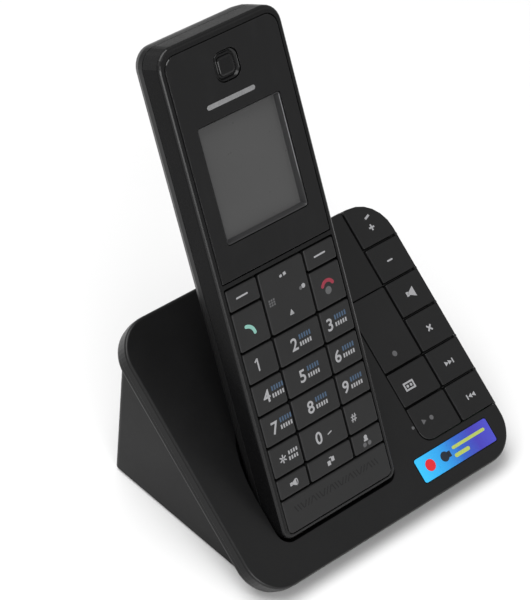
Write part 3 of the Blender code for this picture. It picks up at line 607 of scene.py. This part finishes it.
HANDSET_KEYS = DIAL_KEYS + TOP_KEYS + FUNCTION_KEYS + ["navigator_key"]
for name in HANDSET_KEYS:
    key_cap(HANDSET, name, KEY_BLACK)
for name in DECK_KEYS:
    key_cap(DECK, name, DECK_KEY)
print("made", len(HANDSET_KEYS + DECK_KEYS), "key caps")

# %% [markdown]
# ## The display in its lip
# The display lies about two millimetres under the panel, inside a sloping lip.
# From the left one sees the lip's right wall and its bright rim.
# The lip is a closed profile swept round the window, and the film is a thin cap inside it.

# %% Display film and window lip
SCREEN_DEPTH = 2.2 * MM
FILM = 0.5 * MM  # how thick the film is, how far it stays inside the lip, and its corner radius
THIN_EDGE = 0.05 * MM
WINDOW = outline_of(*HANDSET.extent("display_window"))
film_box = (WINDOW[0] + FILM, WINDOW[1] - FILM, WINDOW[2] + FILM, WINDOW[3] - FILM)
film_shape = cap(HANDSET, film_box, (FILM,) * 4, -SCREEN_DEPTH - FILM, -SCREEN_DEPTH, THIN_EDGE)
put("display_film", film_shape, SCREEN_GREY, "handset", ("display_window",))
LIP_CORNER = 0.8 * MM
LIP_PROFILE = [
    (0.16 * MM, -0.05 * MM),
    (0.36 * MM, -0.35 * MM),
    (0.42 * MM, -0.9 * MM),
    (0.85 * MM, -SCREEN_DEPTH + 0.25 * MM),
    (0.85 * MM, -SCREEN_DEPTH),
    (0.0, -SCREEN_DEPTH),
    (0.0, -0.05 * MM),
]
lip_shape = swept_frame(HANDSET, WINDOW, (LIP_CORNER,) * 4, LIP_PROFILE)
put("window_lip", lip_shape, LIP_GREY, "handset")
window_width, window_length = WINDOW[1] - WINDOW[0], WINDOW[3] - WINDOW[2]
print("display", round(window_width / MM, 1), "by", round(window_length / MM, 1), "mm")

# %% [markdown]
# ## The earpiece
# A rounded square pad stands in a dished ring. Sound comes out of the ring.
# One profile makes all of it: up the outside, down the dish, across its floor and up the pad.

# %% Earpiece pad and ring
ear_low, ear_high = HANDSET.extent("earpiece_grille")
EAR_CORNER = 2.9 * MM
EAR_PROFILE = [
    (0.0, ear_low[2]),
    (0.0, -0.15 * MM),
    (0.12 * MM, -0.03 * MM),
    (0.25 * MM, -0.12 * MM),
    (0.9 * MM, -1.0 * MM),
    (1.25 * MM, -1.05 * MM),
    (1.5 * MM, -0.9 * MM),
    (1.62 * MM, -0.35 * MM),
    (1.85 * MM, -0.18 * MM),
    (2.3 * MM, -0.14 * MM),
    (3.4 * MM, -0.12 * MM),
]
ear_shape = stacked_piece(HANDSET, outline_of(ear_low, ear_high), (EAR_CORNER,) * 4, *zip(*EAR_PROFILE))
put("earpiece_pad", ear_shape, CASE_BLACK, "handset", ("earpiece_grille",))
print("earpiece", round((ear_high[0] - ear_low[0]) / MM, 1), "mm across")

# %% [markdown]
# ## The microphone panel
# A row of slanted dimples runs across the panel at the foot of the keypad.
# They lean left and right by turns, three at a time. Each is a thin dull sliver on the panel.

# %% Microphone panel with its dimples
panel_low, panel_high = HANDSET.extent("mic_panel")
PANEL_SINK = 0.02 * MM
PANEL_RADII = (1.7 * MM, SMALL, SMALL, 1.7 * MM)
panel_top = panel_high[2] - PANEL_SINK
panel_outline = outline_of(panel_low, panel_high)
panel_shape = cap(HANDSET, panel_outline, PANEL_RADII, panel_low[2], panel_top, KEY_EDGE)
put("mic_panel_cap", panel_shape, KEY_BLACK, "handset", ("mic_panel",))


def slanted_bars(across, along, length, width, slant):
    """Corners of many slanted bars, shape (bars, 4, 2).

    Each corner is its bar's centre, plus or minus half of a length vector and of a width vector.
    """
    centre = np.stack(np.broadcast_arrays(across, along), axis=-1)
    run = np.stack((np.sin(slant), np.cos(slant)), axis=-1) * length / 2
    side = np.stack((np.cos(slant), -np.sin(slant)), axis=-1) * width / 2
    corners = (centre - run - side, centre - run + side, centre + run + side, centre + run - side)
    return np.stack(corners, axis=1)


DIMPLE_COUNT = 27
DIMPLE_LENGTH = 2.5 * MM
DIMPLE_WIDTH = 0.44 * MM
DIMPLE_LINE = 8.6 * MM
DIMPLE_LEAN = 0.45
DIMPLE_RISE = 0.01 * MM
dimple_x = np.linspace(-17.3 * MM, 17.1 * MM, DIMPLE_COUNT)
dimple_slant = np.where(np.arange(DIMPLE_COUNT) % 6 < 3, -DIMPLE_LEAN, DIMPLE_LEAN)
dimples = slanted_bars(dimple_x, DIMPLE_LINE, DIMPLE_LENGTH, DIMPLE_WIDTH, dimple_slant)
print("panel", round((panel_high[0] - panel_low[0]) / MM, 1), "mm wide with", DIMPLE_COUNT, "dimples")

# %% [markdown]
# ## Printed symbols
# A symbol is a very thin solid on its key, so it moves with the key when it is pressed.
# Shapes are flat outlines: bars, discs, triangles and bent strokes.
# A stroke is a centre line with the same width on both sides and a round end at each tip.
# `raise_shapes` gives every outline of a symbol a bottom, a top and side walls.

# %% Flat outlines
def turned(points, angle):
    """Points turned anticlockwise by an angle."""
    cosine, sine = math.cos(angle), math.sin(angle)
    return np.asarray(points) @ np.array(((cosine, sine), (-sine, cosine)))


def disc(x, y, radius, count=20):
    """A circle: centre plus radius times (cos, sin)."""
    angle = np.arange(count) * 2 * math.pi / count
    return np.stack((x + radius * np.cos(angle), y + radius * np.sin(angle)), axis=-1)


def bar(x, y, width, height, angle=0.0):
    """A rectangle about its centre, turned by an angle."""
    corner = np.array(((-1, -1), (1, -1), (1, 1), (-1, 1))) * (width / 2, height / 2)
    return turned(corner, angle) + (x, y)


TIP_POINTS = 5


def stroke(line, width):
    """An open line given a width: the line moved left, a half circle, the line moved right, another."""
    line = np.asarray(line, float)
    run = np.gradient(line, axis=0)
    run /= np.linalg.norm(run, axis=1)[:, None]
    left = np.stack((-run[:, 1], run[:, 0]), axis=-1) * width / 2
    sweep = np.linspace(0.0, math.pi, TIP_POINTS + 2)[1:-1, None]
    tip = line[-1] + left[-1] * np.cos(sweep) + run[-1] * width / 2 * np.sin(sweep)
    tail = line[0] - left[0] * np.cos(sweep) - run[0] * width / 2 * np.sin(sweep)
    return np.concatenate((line + left, tip, (line - left)[::-1], tail))[::-1]


def pill(x, y, length, width, angle=0.0):
    """A short straight stroke about its centre."""
    ends = turned(np.linspace((-length / 2, 0.0), (length / 2, 0.0), 3), angle)
    return stroke(ends + (x, y), width)


def bow(x, y, radius, width, first, last):
    """A stroke along part of a circle, with its angles in degrees."""
    angle = np.radians(np.linspace(first, last, 13))
    return stroke(np.stack((x + radius * np.cos(angle), y + radius * np.sin(angle)), axis=-1), width)


def pointer(x, y, size, angle=0.0):
    """A triangle that points along its angle."""
    corner = np.array(((-0.5, -0.55), (0.5, 0.0), (-0.5, 0.55))) * size
    return turned(corner, angle) + (x, y)


def cross(x, y, size, width, angle=0.0):
    """A plus sign of twelve corners, turned by an angle."""
    long, short = size / 2, width / 2
    arm = np.array(((long, -short), (long, short), (short, short)))
    arms = np.concatenate([turned(arm, quarter * math.pi / 2) for quarter in range(4)])
    return turned(arms, angle) + (x, y)


def star_rays(reach):
    """Middles and angles of a star's six strokes: reach times (cos, sin), a sixth of a turn apart."""
    angle = np.arange(6) * math.pi / 3 + math.pi / 6
    return np.stack((reach * np.cos(angle), reach * np.sin(angle), angle), axis=-1)


def raise_shapes(face, outlines, low, high):
    """Each outline becomes a closed slab between two heights; all slabs share one mesh."""
    points, faces, start = [], [], 0
    for outline in outlines:
        count = len(outline)
        flat = np.asarray(outline, float)
        area = np.sum(flat[:, 0] * np.roll(flat[:, 1], -1) - flat[:, 1] * np.roll(flat[:, 0], -1))
        flat = flat if area > 0 else flat[::-1]
        points += [np.column_stack((flat, np.full(count, height))) for height in (low, high)]
        walls = grid_faces(2, count) + start
        faces += walls.tolist() + [(start + np.arange(count))[::-1].tolist()]
        faces.append((start + count + np.arange(count)).tolist())
        start += 2 * count
    return face.world(np.concatenate(points)), faces


INK_SINK = 0.01 * MM
INK_RISE = 0.02 * MM


def symbol(name, face, key, finish, outlines):
    """Prints outlines, given in millimetres from the key's centre, on top of the key."""
    low, high = face.extent(key)
    centre = (low[:2] + high[:2]) / 2
    placed = [np.asarray(outline) * MM + centre for outline in outlines]
    shape = raise_shapes(face, placed, high[2] - INK_SINK, high[2] + INK_RISE)
    put(name, shape, finish, nodes[key]["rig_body"])


print("outline helpers are ready")

# %% [markdown]
# ## Digits
# The digits are plain upright figures. Each is a text object that becomes a mesh first.
# It is then scaled to one height for all, and laid on its key.
# The figure one is only two bars, because the built-in letters draw it with a foot.
# Beside most digits stand two rows of short ticks, which are plain marks and spell nothing.

# %% Digits and tick rows
DIGIT_HEIGHT = 4.1 * MM
DIGIT_WEIGHT = 0.016  # how far the outlines are thickened, as a part of the letter height
MERGE = 0.0002  # vertices closer than this become one, as a part of the letter height
FIGURES = {name: name[-1] for name in DIAL_KEYS if name[-1].isdigit()}
DIGIT_SHIFT = {"left": -1.25, "middle": -2.2, "right": -3.1}
COLUMN_OF = {name: ("left", "middle", "right")[place % 3] for place, name in enumerate(DIAL_KEYS)}


def figure_mesh(text):
    """A text object as an array of points and a list of faces, one unit high and centred."""
    curve = bpy.data.curves.new("figure", "FONT")
    curve.body = text
    curve.extrude = 0.004
    curve.offset = DIGIT_WEIGHT
    curve.resolution_u = 5
    source = bpy.data.objects.new("figure", curve)
    bpy.context.scene.collection.objects.link(source)
    graph = bpy.context.evaluated_depsgraph_get()
    mesh = bpy.data.meshes.new_from_object(source.evaluated_get(graph))
    shape = bmesh.new()
    shape.from_mesh(mesh)
    bmesh.ops.remove_doubles(shape, verts=shape.verts, dist=MERGE)
    shape.verts.index_update()
    points = np.array([vertex.co[:] for vertex in shape.verts])
    faces = [[vertex.index for vertex in polygon.verts] for polygon in shape.faces]
    shape.free()
    bpy.data.objects.remove(source)
    low, high = points.min(axis=0), points.max(axis=0)
    return (points - (low + high) / 2) / (high[1] - low[1]), faces


def lay_figure(key, text, shift):
    """The figure moved to its key's middle and then across by the shift, in millimetres."""
    points, faces = figure_mesh(text)
    low, high = HANDSET.extent(key)
    flat = points[:, :2] * DIGIT_HEIGHT + (low[:2] + high[:2]) / 2 + (shift * MM, 0.0)
    level = high[2] - INK_SINK + (points[:, 2:] > 0) * (INK_SINK + INK_RISE)
    shape = HANDSET.world(np.concatenate((flat, level), axis=1)), faces
    put(key + "_digit", shape, INK_GREY, nodes[key]["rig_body"])


TICK_FULLNESS = 1.15  # ticks are a little wider than the gaps between them


def ticks(x, y, width, height, count):
    """A row of short upright bars, with their middles two steps apart."""
    step = width / (2 * count - 1)
    middles = [x - width / 2 + (2 * place + 0.5) * step for place in range(count)]
    return [bar(middle, y, step * TICK_FULLNESS, height) for middle in middles]


for key, text in FIGURES.items():
    shift = DIGIT_SHIFT[COLUMN_OF[key]]
    if text == "1":
        one = [bar(shift, 0.0, 0.55, DIGIT_HEIGHT / MM), bar(shift - 0.5, 1.5, 1.4, 0.5, 0.75)]
        symbol(key + "_digit", HANDSET, key, INK_GREY, one)
        continue
    lay_figure(key, text, shift)
    if text != "0":
        symbol(key + "_upper_ticks", HANDSET, key, INK_BLUE, ticks(shift + 4.7, 1.45, 4.6, 1.55, 5))
        symbol(key + "_lower_ticks", HANDSET, key, INK_GREY, ticks(shift + 4.5, -0.85, 4.6, 1.35, 5))
symbol("key_0_bar", HANDSET, "key_0", INK_GREY, [pill(2.3, -0.2, 1.5, 0.4, 0.3)])
STAR_RAYS = [pill(-1.4 + dx, dy, 1.25, 0.45, angle) for dx, dy, angle in star_rays(0.62)]
symbol("key_star_sign", HANDSET, "key_star", INK_GREY, STAR_RAYS)
STAR_TICKS = ticks(2.9, 1.0, 3.6, 1.2, 4) + ticks(2.7, -0.9, 3.6, 1.2, 4)
symbol("key_star_ticks", HANDSET, "key_star", INK_GREY, STAR_TICKS)
HASH_BARS = [pill(-3.1 + dx, 0.0, 2.4, 0.38, 1.4) for dx in (-0.5, 0.5)]
HASH_BARS += [bar(-3.1, dy, 2.2, 0.36) for dy in (-0.5, 0.5)]
symbol("key_hash_sign", HANDSET, "key_hash", INK_GREY, HASH_BARS)
print("laid", len(FIGURES), "digits")

# %% [markdown]
# ## Soft keys and the painted highlight on the window's edge
# Each soft key carries a dash.
# The cut edge of the glass over the display catches the light on the right. That bright line is painted
# as a fine pale line inside the lip.
# # This painted highlight is a thin pale solid like a symbol. It lies just under the panel's top and
# tapers towards the keys.

# %% Dashes and the painted highlight on the glass edge
for side, shift in (("left", -0.5), ("right", -0.3)):
    key = "soft_key_" + side
    symbol(key + "_dash", HANDSET, key, INK_GREY, [pill(shift, 0.0, 4.2, 0.55, 0.02)])
# The outline of the painted highlight: a pale sliver along the lip's right wall, narrowing to a tip
# towards the keys.
LINE_OUTER = WINDOW[1] - 0.06 * MM
LINE_INNER = WINDOW[1] - 0.30 * MM
LINE_TIP = (WINDOW[1] - 0.16 * MM, WINDOW[2] + 5.0 * MM)
LINE_FRONT = WINDOW[2] + 12.0 * MM
LINE_BACK = WINDOW[3] - LIP_CORNER
HIGHLIGHT_OUTLINE = [
    LINE_TIP,
    (LINE_OUTER, LINE_FRONT),
    (LINE_OUTER, LINE_BACK),
    (LINE_INNER, LINE_BACK),
    (LINE_INNER, LINE_FRONT),
]
highlight_shape = raise_shapes(HANDSET, [HIGHLIGHT_OUTLINE], -0.30 * MM, -0.12 * MM)
put("window_edge_painted_highlight", highlight_shape, PAINTED_EDGE_HIGHLIGHT, "handset")
print("glass edge", round((LINE_BACK - LINE_TIP[1]) / MM, 1), "mm long")

# %% [markdown]
# ## The other handset symbols
# The talk key carries a green bow and the end key a red one over a dot.
# The four-way key has a small sign on each side, and the function keys have simple pictures.

# %% Symbols of the handset's other keys
symbol("talk_bow", HANDSET, "talk_key", INK_GREEN, [bow(-2.3, -2.3, 3.1, 1.15, 5, 85)])
symbol("end_bow", HANDSET, "end_key", INK_RED, [bow(-0.1, -0.6, 2.3, 1.15, 25, 155)])
symbol("end_dot", HANDSET, "end_key", INK_DIM, [disc(-0.3, -1.5, 1.25)])
NAVIGATOR_SIGNS = [
    bar(-0.7, 6.4, 1.0, 0.8, 0.2),
    bar(0.9, 6.6, 1.1, 1.0, 0.2),
    disc(6.7, 0.1, 0.75),
    bar(0.0, -6.4, 1.6, 0.5),
    pointer(0.0, -5.6, 1.5, math.pi / 2),
]
symbol("navigator_signs", HANDSET, "navigator_key", INK_GREY, NAVIGATOR_SIGNS)
GRID_SIGN = [bar(-6.3 + dx, -0.1 + dy, 0.65, 0.6) for dx in (-0.9, 0.0, 0.9) for dy in (-0.8, 0.0, 0.8)]
symbol("navigator_grid", HANDSET, "navigator_key", INK_DIM, GRID_SIGN + [disc(5.5, -0.2, 0.6)])
SPEAKER_SIGN = [bar(-0.9, 0.0, 0.9, 1.1), pointer(0.1, 0.0, 2.3, math.pi)]
SPEAKER_SIGN.append(bow(0.3, 0.0, 1.5, 0.3, -40, 40))
symbol("function_left_sign", HANDSET, "function_key_left", INK_GREY, SPEAKER_SIGN)
PAIR_SIGN = [bar(-0.8, -0.4, 1.3, 1.5), bar(0.9, 0.4, 1.3, 1.5), bar(0.1, 1.2, 1.0, 0.35)]
symbol("function_middle_sign", HANDSET, "function_key_middle", INK_GREY, PAIR_SIGN)
BELL_SIGN = [disc(-0.6, 1.1, 0.7), bar(-0.6, 0.1, 1.7, 0.7)]
symbol("function_right_dot", HANDSET, "function_key_right", INK_GREY, BELL_SIGN)
SPOT_PAIR = [disc(-1.5, -1.3, 0.75), disc(0.5, -1.3, 0.75)]
symbol("function_right_pair", HANDSET, "function_key_right", INK_DIM, SPOT_PAIR)
dimple_shape = raise_shapes(HANDSET, dimples, panel_top - INK_SINK, panel_top + DIMPLE_RISE)
put("mic_dimples", dimple_shape, RUBBER, "handset")
print("handset symbols are on")

# %% [markdown]
# ## The deck's symbols
# The outer column sets the volume, picks the loudspeaker, erases and skips. The inner column
# stops, switches the answering machine on, and plays. A small lamp dot sits beside the play key.

# %% Symbols of the deck's keys
def deck_symbol(key, finish, outlines):
    symbol(key + "_sign", DECK, key, finish, outlines)


deck_symbol("volume_up_key", INK_GREY, [bar(0.1, 1.9, 2.2, 0.75, 0.35), cross(-0.3, -1.8, 2.2, 0.6)])
deck_symbol("volume_down_key", INK_GREY, [pill(-0.6, -0.2, 1.9, 0.55)])
deck_symbol("speaker_key", INK_GREY, [bar(-1.35, 0.0, 1.0, 1.6), pointer(0.1, 0.0, 3.3, math.pi)])
deck_symbol("erase_key", INK_GREY, [cross(-0.5, -0.1, 2.6, 0.6, math.pi / 4)])
SKIP_SIGN = [pointer(-1.5, 0.0, 1.5), pointer(0.0, 0.0, 1.5), bar(1.2, 0.0, 0.5, 1.7)]
deck_symbol("skip_forward_key", INK_GREY, [shape + (-0.2, -0.3) for shape in SKIP_SIGN])
deck_symbol("skip_back_key", INK_GREY, [turned(shape, math.pi) + (-0.2, -0.4) for shape in SKIP_SIGN])
deck_symbol("stop_key", INK_DIM, [disc(-1.1, -8.2, 0.95)])
TAPE_SIGN = [bar(0.0, dy, 4.4, 0.6) for dy in (1.15, -1.15)]
TAPE_SIGN += [bar(dx, 0.0, 0.6, 1.7) for dx in (-1.9, 1.9)]
TAPE_SIGN += [disc(dx, 0.0, 0.5) for dx in (-0.75, 0.75)]
deck_symbol("answer_on_key", INK_GREY, [shape + (-2.4, -0.3) for shape in TAPE_SIGN])
deck_symbol("play_key", INK_DIM, [pointer(-4.4, 0.2, 1.7), disc(-1.2, 0.1, 0.8)])
LAMP_SPOT = disc(22.9 * MM, 22.7 * MM, 0.55 * MM)
lamp_shape = raise_shapes(DECK, [LAMP_SPOT], -INK_SINK, INK_RISE)
put("lamp_dot", lamp_shape, INK_DIM, "base")
print("deck symbols are on")

# %% [markdown]
# ## Dark ribs between the outer keys
# The outer keys run out through the deck's edge, so light would shine between them there.
# A thin rubber rib stands low in each gap, and at the deck's edge a wide end closes the notch.
# Two more ends close the gaps in front of the column and beside the key in the back corner.
# Ribs are fixed to the deck and stay clear of the caps, so the keys slide past them.

# %% Ribs in the outer column's gaps
RIB_WIDTH = 0.3 * MM
RIB_CLEAR = 0.01 * MM
RIB_END = 0.9 * MM
RIB_TOP = -0.8 * MM
RIB_END_TOP = 0.12 * MM
OUTER_GAP = 0.35 * MM  # between the outer column and the deck round it
BACK_INSET = 0.15 * MM
outer_spans = [DECK.extent(name) for name in ("volume_up_key", *EDGE_KEYS)][::-1]
front_low, front_high = outer_spans[0]
left, front, foot = front_low
right, back = front_high[0], outer_spans[-1][1][1] - BACK_INSET
gaps = [(below[1][1], above[0][1]) for below, above in zip(outer_spans, outer_spans[1:])]
rib_x, rib_length = (left + right - RIB_END) / 2, right - RIB_END - left
ribs = [bar(rib_x, (low + high) / 2, rib_length, RIB_WIDTH) for low, high in gaps]
end_x, end_width = right - RIB_END / 2, RIB_END - RIB_CLEAR
gaps.append((front - OUTER_GAP, front))
ends = [bar(end_x, (low + high) / 2, end_width, high - low - 2 * RIB_CLEAR) for low, high in gaps]
ends.append(bar(left - OUTER_GAP / 2, back - RIB_END / 2, OUTER_GAP - 2 * RIB_CLEAR, RIB_END))
put("deck_ribs", raise_shapes(DECK, ribs, foot, RIB_TOP), RUBBER, "base")
put("deck_rib_ends", raise_shapes(DECK, ends, foot, RIB_END_TOP), RUBBER, "base")
print("made", len(ribs), "ribs and", len(ends), "ends")

# %% [markdown]
# ## The label
# A printed label lies in a shallow seat at the deck's corner. Its ink runs from sky blue to violet.
# A ramp along X gives the run, and a slow noise makes the run look printed. Fine dots darken it.
# Its pictures are plain shapes: a red spot, a dark spot and two yellow bars.

# %% Label and its shapes
def gradient_print(name, left, right, stops):
    """Ink whose colour follows a ramp from left to right, under a thin clear coat."""
    finish = Finish(name)
    across = finish.node("ShaderNodeSeparateXYZ", None, {0: finish.place}, "X")
    run = (across - left) / (right - left) + (finish.noise(9.0 * MM, 2.0) - 0.5) * 0.12
    dots = finish.cells(0.12 * MM)
    ink = finish.node("ShaderNodeValToRGB", {"stops": stops}, {0: run.clipped()})
    tone = finish.blend((dots * 0.25).clipped(), ink, (0.01, 0.03, 0.12))
    patch = finish.noise(1.5 * MM, 3.0)
    finish.set(Base_Color=tone, Roughness=(0.30 + (patch - 0.5) * 0.14).clipped())
    finish.set(Coat_Weight=0.3, Coat_Roughness=0.15)
    finish.set(Normal=finish.bump(finish.noise(0.8 * MM, 2.0), 0.006 * MM))
    return finish.material


label_low, label_high = DECK.extent("label_plate")
LABEL_STOPS = [
    (0.0, (0.020, 0.500, 0.900)),
    (0.32, (0.010, 0.320, 0.740)),
    (0.55, (0.010, 0.100, 0.500)),
    (0.80, (0.040, 0.028, 0.400)),
    (1.0, (0.050, 0.050, 0.490)),
]
LABEL_INK = gradient_print("label_gradient", label_low[0], label_high[0], LABEL_STOPS)
LABEL_RED = printed("label_red", (0.62, 0.010, 0.020), 0.35)
LABEL_DARK = printed("label_dark", (0.004, 0.010, 0.020), 0.35)
LABEL_YELLOW = printed("label_yellow", (0.38, 0.47, 0.10), 0.35)
LABEL_CORNER = 0.8 * MM
label_box = outline_of(label_low, label_high)
label_shape = cap(DECK, label_box, (LABEL_CORNER,) * 4, label_low[2], label_high[2], THIN_EDGE)
put("label_sheet", label_shape, LABEL_INK, "base", ("label_plate",))
for name, ink, outlines in (
    ("label_red_spot", LABEL_RED, [disc(-11.5, 0.2, 2.0, 28)]),
    ("label_dark_spot", LABEL_DARK, [disc(-5.0, 0.1, 1.7, 28), bar(-2.9, 0.1, 1.2, 2.0)]),
    ("label_yellow_bars", LABEL_YELLOW, [pill(6.6, 1.2, 14.0, 1.1), pill(2.0, -1.5, 5.5, 1.3)]),
):
    symbol(name, DECK, "label_plate", ink, outlines)
print("label", round((label_high[0] - label_low[0]) / MM, 1), "mm long")

# %% [markdown]
# ## A plain badge
# A slim silver bar stands where such handsets carry a name. It says nothing.

# %% Silver bar under the earpiece
SILVER = metal("badge_silver", (0.62, 0.62, 0.63), 0.30, (6.0, 1.0, 1.0))
BADGE = pill(-1.5 * MM, 137.7 * MM, 17.5 * MM, 1.5 * MM)
BADGE_RISE = 0.04 * MM
bezel_top = HANDSET.extent("upper_bezel")[1][2]
badge_shape = raise_shapes(HANDSET, [BADGE], bezel_top - INK_SINK, bezel_top + BADGE_RISE)
put("silver_bar", badge_shape, SILVER, "handset")
print("badge is on")

# %% [markdown]
# ## The floor
# The floor is one pale sheet. Its tone drifts a little, as paper does, and it is nearly matt.

# %% Floor
FLOOR_REACH = 4.0


def pale_floor():
    """One large flat square under the feet, with a faint cloudiness in tone."""
    finish = Finish("floor_pale")
    cloud = finish.noise(0.35, 2.0)
    tone = finish.blend(cloud.clipped(), (0.80, 0.80, 0.80), (0.84, 0.84, 0.84))
    finish.set(Base_Color=tone, Roughness=(0.85 + (cloud - 0.5) * 0.1).clipped())
    finish.set(Specular_IOR_Level=0.2)
    signs = ((-1, -1), (1, -1), (1, 1), (-1, 1))
    corners = [(x * FLOOR_REACH, y * FLOOR_REACH, 0.0) for x, y in signs]
    mesh = bpy.data.meshes.new("floor")
    mesh.from_pydata(corners, [], [(0, 1, 2, 3)])
    mesh.materials.append(finish.material)
    floor = bpy.data.objects.new("floor", mesh)
    bpy.context.scene.collection.objects.link(floor)


pale_floor()
print("floor", 2 * FLOOR_REACH, "m wide")

# %% [markdown]
# ## The lights
# Black plastic shows little but reflections, so each light is placed by what mirrors it.
#
# - The overhead box makes the floor bright. It hangs where neither the deck nor the panel mirrors it.
# - The left card is wide and dim, and draws a soft line along the rounded edges on the left.
# - The small card at the front right lifts the deck and its keys by a trace.
# - The fill at the front left keeps the shadow under the deck's front edge soft and pale.
#
# A dim white world fills the rest. The Standard view keeps a white floor white.

# %% Lights
def softbox(name, place, aim, width, height, power):
    """A rectangular area light at a place, turned to face a point."""
    light = bpy.data.lights.new(name, "AREA")
    light.shape = "RECTANGLE"
    light.size, light.size_y, light.energy = width, height, power
    lamp = bpy.data.objects.new(name, light)
    lamp.location = place
    lamp.rotation_euler = (Vector(aim) - Vector(place)).to_track_quat("-Z", "Y").to_euler()
    bpy.context.scene.collection.objects.link(lamp)


WORLD_STRENGTH = 0.40
softbox("overhead", (-0.42, 0.28, 1.5), (0.0, 0.0, 0.0), 1.6, 1.2, 26.0)
softbox("left_card", (-1.3, -0.1, 0.45), (0.0, 0.0, 0.06), 0.9, 0.7, 0.8)
softbox("front_right_card", (0.40, -0.36, 0.46), (0.03, -0.02, 0.03), 0.34, 0.30, 0.10)
softbox("front_left_fill", (-0.60, -1.10, 0.50), (0.02, -0.06, 0.0), 0.9, 0.5, 9.0)
world = bpy.data.worlds.new("studio")
world.use_nodes = True
backdrop = world.node_tree.nodes["Background"]
backdrop.inputs["Color"].default_value = (1.0, 1.0, 1.0, 1.0)
backdrop.inputs["Strength"].default_value = WORLD_STRENGTH
bpy.context.scene.world = world
bpy.context.scene.view_settings.view_transform = "Standard"
print("lights:", [thing.name for thing in bpy.data.lights])

# %% [markdown]
# ## The camera
# The camera looks down from the front left with a long lens, so the object's edges stay nearly
# parallel. Its place is given from the handset's corner, and it is rolled a little.
# The lens follows from the picture's width and from how far one unit of angle reaches in it.

# %% Camera
AZIMUTH = math.radians(-46.3)
ELEVATION = math.radians(40.121)
ROLL = math.radians(5.675)
CAMERA_FROM_HANDSET = (-0.45804, -0.39547, 0.59109)
SENSOR = 36.0
FOCAL_UNITS = 2700.0  # the focal length in the same units as the picture's width
PICTURE_WIDTH = 531.0


def aim_camera():
    """Back points from the object to the camera; right and up are turned about it by the roll."""
    back = Vector(
        (
            math.sin(AZIMUTH) * math.cos(ELEVATION),
            -math.cos(AZIMUTH) * math.cos(ELEVATION),
            math.sin(ELEVATION),
        )
    )
    level = Vector((math.cos(AZIMUTH), math.sin(AZIMUTH), 0.0))
    upright = back.cross(level)
    right = math.cos(ROLL) * level + math.sin(ROLL) * upright
    up = back.cross(right)
    data = bpy.data.cameras.new("camera")
    data.sensor_fit = "HORIZONTAL"
    data.sensor_width = SENSOR
    data.lens = FOCAL_UNITS * SENSOR / PICTURE_WIDTH
    data.clip_start, data.clip_end = 0.05, 20.0
    camera = bpy.data.objects.new("camera", data)
    turn = Matrix((right, up, back)).transposed().to_4x4()
    camera.matrix_world = Matrix.Translation(HANDSET.origin + CAMERA_FROM_HANDSET) @ turn
    bpy.context.scene.collection.objects.link(camera)
    bpy.context.scene.camera = camera
    return data.lens


print("lens", round(aim_camera(), 1), "mm")
